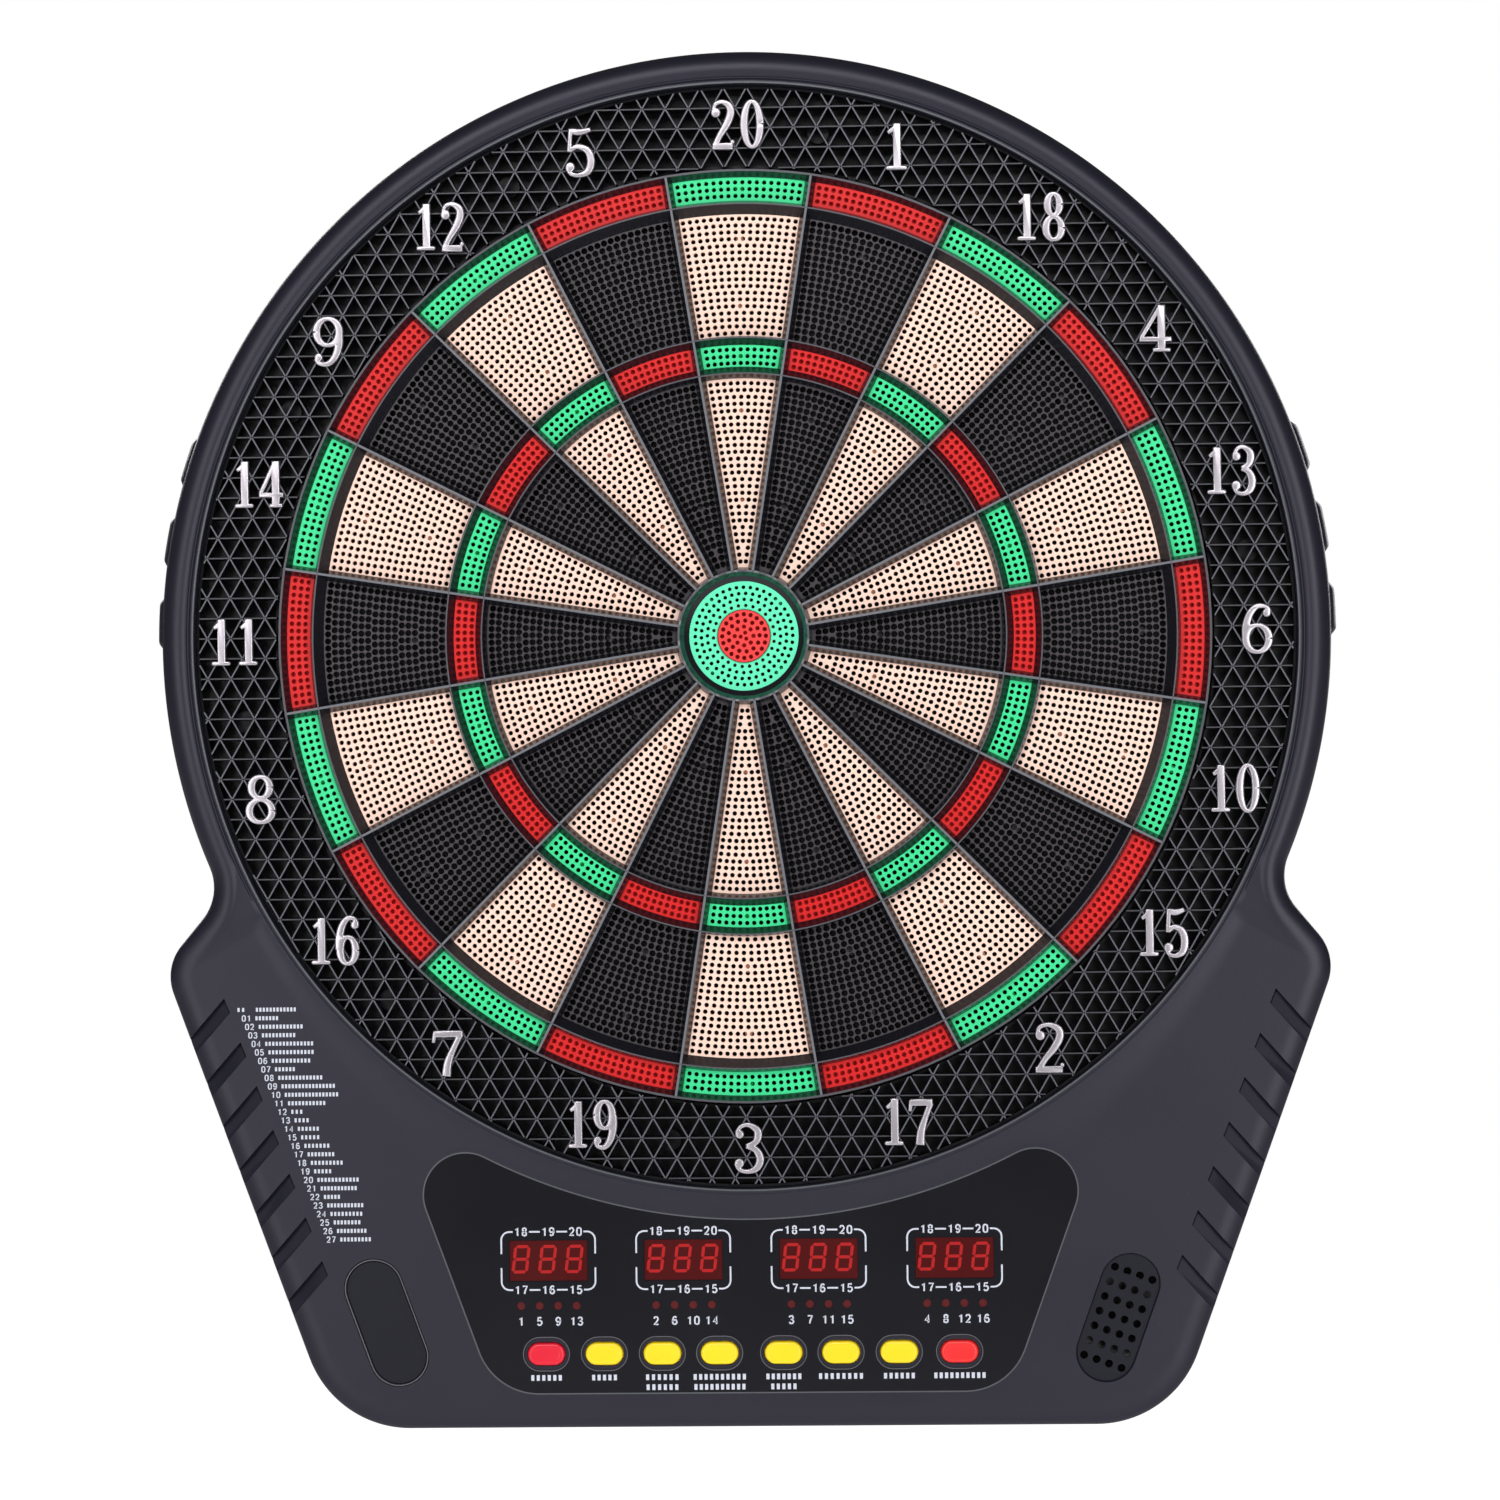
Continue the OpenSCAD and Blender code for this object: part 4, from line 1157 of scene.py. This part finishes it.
# how far inwards and how high a button's cap is, from its foot to its slightly dished top
CAP = [(0.0, 22.4), (0.0, 26.3), (0.12, 26.75), (0.45, 27.1), (1.0, 27.25), (1.5, 27.3), (2.0, 27.22),
       (2.6, 27.2)]


def button_mesh(x):
    s = Solid()
    rows = []
    for inset, h in CAP:
        rows.append(s.loop(obround((x, BUTTON_Y), 14 - 2 * inset, 8.3 - 2 * inset, 16), h))
    s.bands(rows)
    s.cap([rows[-1]])
    s.cap([rows[0]], False)
    s.plate(obround((x, BUTTON_Y), 17, 11.3), [], 22.4, 23.8)
    s.plate(circle((x, BUTTON_Y), 1.8, 20), [], 19.05, 22.45)
    return s


BUTTON_COLOURS = {"power": "button_pink", "start": "button_red"}
for title, x in zip(BUTTONS, BUTTON_XS):
    node = title + "_button"
    finish = BUTTON_COLOURS.get(title, "button_yellow")
    piece(node + "_cap", mesh_of(node, button_mesh(x), 50), finish, node, [node])


# ---------- displays ----------

def bar(s, a, b, width, lo, hi, slant, y0):
    """A six-sided bar from a to b, leaning with slant above y0."""
    u, v = (part * width / 2 for part in heading(a, b))
    pts = [a, (a[0] + u - v, a[1] + v + u), (b[0] - u - v, b[1] - v + u),
           b, (b[0] - u + v, b[1] - v - u), (a[0] + u + v, a[1] + v - u)]
    s.plate([(x + slant * (y - y0), y) for x, y in reversed(pts)], [], lo, hi)


def seven_segments(s, c, w, t, width, lo, hi, slant):
    """All the bars of a digit about c, w wide and t high between their middles."""
    x0, x1, y0, y1, y2 = c[0] - w / 2, c[0] + w / 2, c[1] - t / 2, c[1], c[1] + t / 2
    ends = [((x0, y2), (x1, y2)), ((x0, y1), (x0, y2)), ((x1, y1), (x1, y2)), ((x0, y1), (x1, y1)),
            ((x0, y0), (x0, y1)), ((x1, y0), (x1, y1)), ((x0, y0), (x1, y0))]
    for a, b in ends:
        u, v = (part * 0.12 * width for part in heading(a, b))
        bar(s, (a[0] + u, a[1] + v), (b[0] - u, b[1] - v), width, lo, hi, slant, c[1])


for k, x in enumerate(DISPLAY_XS):
    node = f"display_{k + 1}"
    window = Solid()
    window.plate(box((x, DISPLAY_Y), DISPLAY_W / 2, DISPLAY_T / 2), [], 13.6, 26.1)
    piece(node + "_window", mesh_of(node, window), "display_red", nodes=[node])
    digits = Solid()
    for j in (-1, 0, 1):
        seven_segments(digits, (x - 0.3 + j * 9.9, DISPLAY_Y + 0.6), 5.0, 9.4, 1.15, 26.05, 26.18, 0.12)
    piece(node + "_digits", mesh_of(node + "_digits", digits), "lamp_red", nodes=[node], looks=("lit_digit",))


# ---------- printed legends ----------

def print_line(s, path, width, h=PANEL_H):
    """A printed line along the path, on a face at height h."""
    for quad in stroke_quads([(x, y, width) for x, y in path]):
        s.plate(quad, [], h - 0.02, h + 0.03)


# strokes of the small digits, in shares of their width and height
SMALL = {
    "0": [(0.5, 0), (0.1, 0.1), (0, 0.5), (0.1, 0.9), (0.5, 1), (0.9, 0.9), (1, 0.5), (0.9, 0.1), (0.5, 0)],
    "1": [(0.15, 0.75), (0.6, 1), (0.6, 0)],
    "2": [(0, 0.75), (0.2, 0.97), (0.7, 0.97), (0.95, 0.72), (0.7, 0.42), (0, 0.02), (1, 0.02)],
    "3": [(0, 0.8), (0.25, 0.98), (0.75, 0.97), (0.9, 0.75), (0.7, 0.55), (0.35, 0.53), (0.75, 0.5),
          (1, 0.27), (0.75, 0.03), (0.25, 0.02), (0, 0.2)],
    "4": [(0.75, 0), (0.75, 1), (0, 0.3), (1, 0.3)],
    "5": [(0.9, 0.98), (0.15, 0.98), (0.08, 0.52), (0.5, 0.63), (0.9, 0.5), (0.98, 0.28), (0.7, 0.03),
          (0.25, 0.02), (0, 0.18)],
    "6": [(0.9, 0.85), (0.6, 1), (0.25, 0.93), (0.02, 0.5), (0.1, 0.1), (0.5, 0), (0.9, 0.12), (0.98, 0.35),
          (0.75, 0.58), (0.3, 0.56), (0.05, 0.35)],
    "7": [(0, 0.98), (1, 0.98), (0.55, 0.4), (0.4, 0)],
    "8": [(0.5, 0.53), (0.12, 0.68), (0.12, 0.9), (0.5, 1), (0.88, 0.9), (0.88, 0.68), (0.5, 0.53),
          (0.05, 0.35), (0.08, 0.1), (0.5, 0), (0.92, 0.1), (0.95, 0.35), (0.5, 0.53)],
}
SMALL["9"] = [(1 - u, 1 - v) for u, v in SMALL["6"]]


def small_number(s, text, c, t, width, h=PANEL_H):
    """A short number centred on c, t high."""
    w = 0.56 * t
    pitch = (w + width * 1.9) * 0.98
    for k, ch in enumerate(text):
        x0 = c[0] + (k - (len(text) - 1) / 2) * pitch - w / 2
        print_line(s, [(x0 + u * w, c[1] - t / 2 + v * t) for u, v in SMALL[ch]], width, h)


def print_word(s, start, length, block, gap, t, h=PANEL_H):
    """A row of plain blocks where a word would be."""
    count = int((length + gap) / (block + gap))
    for k in range(count):
        x = start[0] + k * (length + gap) / count
        print_line(s, [(x, start[1]), (x + block, start[1])], t, h)


legends = Solid()
for k, x in enumerate(DISPLAY_XS):
    half_w, half_t, r = 17.5, 10.8, 3.0
    line = 0.62
    for quarter, (sx, sy) in enumerate(((1, 1), (-1, 1), (-1, -1), (1, -1))):
        c = (x + sx * (half_w - r), DISPLAY_Y + sy * (half_t - r))
        bend = arc(c, r, 90 * quarter, 90 * quarter + 90, 6)
        side = (c[0] + sx * r, DISPLAY_Y + sy * 2.6)
        tip = (x + sx * 13.2, c[1] + sy * r)
        print_line(legends, [side] + (bend if sx == sy else bend[::-1]) + [tip], line)
    for sign, numbers in ((1, ("18", "19", "20")), (-1, ("17", "16", "15"))):
        y = DISPLAY_Y + sign * half_t
        for j, text in enumerate(numbers):
            small_number(legends, text, (x + (j - 1) * 10.2, y), 2.9, 0.6)
        for j in (-0.5, 0.5):
            print_line(legends, [(x + j * 10.2 - 2.0, y), (x + j * 10.2 + 2.0, y)], line)
    for j in range(4):
        small_number(legends, str(k + 1 + 4 * j), (x + (j - 1.5) * LED_PITCH, -254.2), 2.9, 0.6)

# widths of the one or two rows below each button
BUTTON_ROWS = [(11.5,), (9.3,), (12.3, 12.0), (19.5, 19.0), (13.0, 9.5), (16.5,), (11.5,), (19.0,)]
for x, widths in zip(BUTTON_XS, BUTTON_ROWS):
    for row, w in enumerate(widths):
        print_word(legends, (x - w / 2, -275.2 - row * 3.7), w, 1.15, 0.8, 2.1)
piece("panel_legends", mesh_of("panel_legends", legends), "print_white", nodes=["control_panel"])

# Light grey rings round the button wells: painted highlights on their edges.
rings = Solid()
for x in BUTTON_XS:
    rings.plate(obround((x, BUTTON_Y), WELL_W + 0.5, WELL_T + 0.5),
                [obround((x, BUTTON_Y), WELL_W - 0.05, WELL_T - 0.05)], PANEL_H - 0.3, PANEL_H + 0.04)
piece("button_well_lines", mesh_of("button_wells", rings), "panel_gloss", nodes=["control_panel"],
      looks=("painted_rim_highlight",))

game_list = Solid()
LINE_LENGTHS = [8.5, 16.5, 12.5, 18.0, 17.0, 14.5, 7.5, 16.5, 20.0, 20.0, 14.0, 4.5, 5.5, 8.0, 7.0, 9.5, 10.0,
                12.0, 6.5, 15.5, 13.5, 6.0, 13.5, 12.0, 10.0, 11.0, 11.5]
for k, length in enumerate(LINE_LENGTHS):
    x, y = -187.3 + 1.19 * k, -140.5 - 3.18 * k
    small_number(game_list, f"{k + 1:02d}", (x, y), 2.1, 0.42, FACE_H)
    print_word(game_list, (x + 3.4, y), length, 0.8, 0.45, 1.5, FACE_H)
print_word(game_list, (-190.6, -137.3), 3.0, 0.8, 0.45, 1.5, FACE_H)
print_word(game_list, (-183.7, -137.3), 15.0, 0.8, 0.45, 1.5, FACE_H)
piece("game_list_print", mesh_of("game_list", game_list), "print_white", nodes=["front_housing"])


# ---------- surroundings ----------

def white_to_camera(tree, socket, otherwise):
    """Pure white where it is seen directly, a weaker light for everything else."""
    ray = tree.nodes.new("ShaderNodeLightPath")
    power = tree.nodes.new("ShaderNodeMapRange")
    power.inputs["To Min"].default_value, power.inputs["To Max"].default_value = otherwise, 1.0
    tree.links.new(ray.outputs["Is Camera Ray"], power.inputs["Value"])
    tree.links.new(power.outputs["Result"], socket)


floor_mesh = bpy.data.meshes.new("floor")
floor_mesh.from_pydata([(-6, -6, -0.9), (6, -6, -0.9), (6, 6, -0.9), (-6, 6, -0.9)], [], [(0, 1, 2, 3)])
floor = bpy.data.objects.new("floor", floor_mesh)
bpy.context.scene.collection.objects.link(floor)
pale = bpy.data.materials.new("floor")
pale.use_nodes = True
shader = pale.node_tree.nodes["Principled BSDF"]
shader.inputs["Base Color"].default_value = (0.93, 0.93, 0.93, 1)
shader.inputs["Roughness"].default_value = 0.8
shader.inputs["Emission Color"].default_value = (1, 1, 1, 1)
white_to_camera(pale.node_tree, shader.inputs["Emission Strength"], 0.35)
floor_mesh.materials.append(pale)


def lamp(name, at, size, power, aim=(0, 0, -0.04)):
    data = bpy.data.lights.new(name, "AREA")
    data.shape, data.size, data.size_y, data.energy = "RECTANGLE", size[0], size[1], power
    obj = bpy.data.objects.new(name, data)
    bpy.context.scene.collection.objects.link(obj)
    obj.location = at
    obj.rotation_euler = (Vector(aim) - Vector(at)).to_track_quat("-Z", "Y").to_euler()


lamp("key", (-0.15, -2.1, 1.05), (1.4, 0.6), 25)
lamp("left", (-0.95, -2.0, 0.0), (0.5, 1.3), 12.5)
lamp("right", (0.95, -2.0, 0.0), (0.5, 1.3), 19)
lamp("rear_left", (-1.3, 1.9, 0.9), (1.0, 0.8), 14)
lamp("rear_right", (1.3, 1.9, 0.5), (0.8, 1.0), 11)

world = bpy.data.worlds.new("studio")
bpy.context.scene.world = world
world.use_nodes = True
sky = world.node_tree.nodes["Background"]
sky.inputs["Color"].default_value = (1, 1, 1, 1)
white_to_camera(world.node_tree, sky.inputs["Strength"], 0.1)

view = bpy.data.cameras.new("camera")
camera = bpy.data.objects.new("camera", view)
bpy.context.scene.collection.objects.link(camera)
FACE_PLANE_Y, DISTANCE, FRAME_WIDTH = -0.027, 1.9, 0.5575
ASIDE, BELOW, ROLL = 2.6, 0.7, 0.66
view.sensor_width = 36
view.lens = 36 * DISTANCE / FRAME_WIDTH
aim = Vector((0.0020, FACE_PLANE_Y, -0.0426))
turn = Matrix.Rotation(radians(ASIDE), 4, "Z") @ Matrix.Rotation(radians(90 + BELOW), 4, "X")
turn = turn @ Matrix.Rotation(radians(-ROLL), 4, "Z")
camera.matrix_world = Matrix.Translation(aim + turn @ Vector((0, 0, DISTANCE))) @ turn
bpy.context.scene.camera = camera
bpy.context.scene.view_settings.view_transform = "Standard"
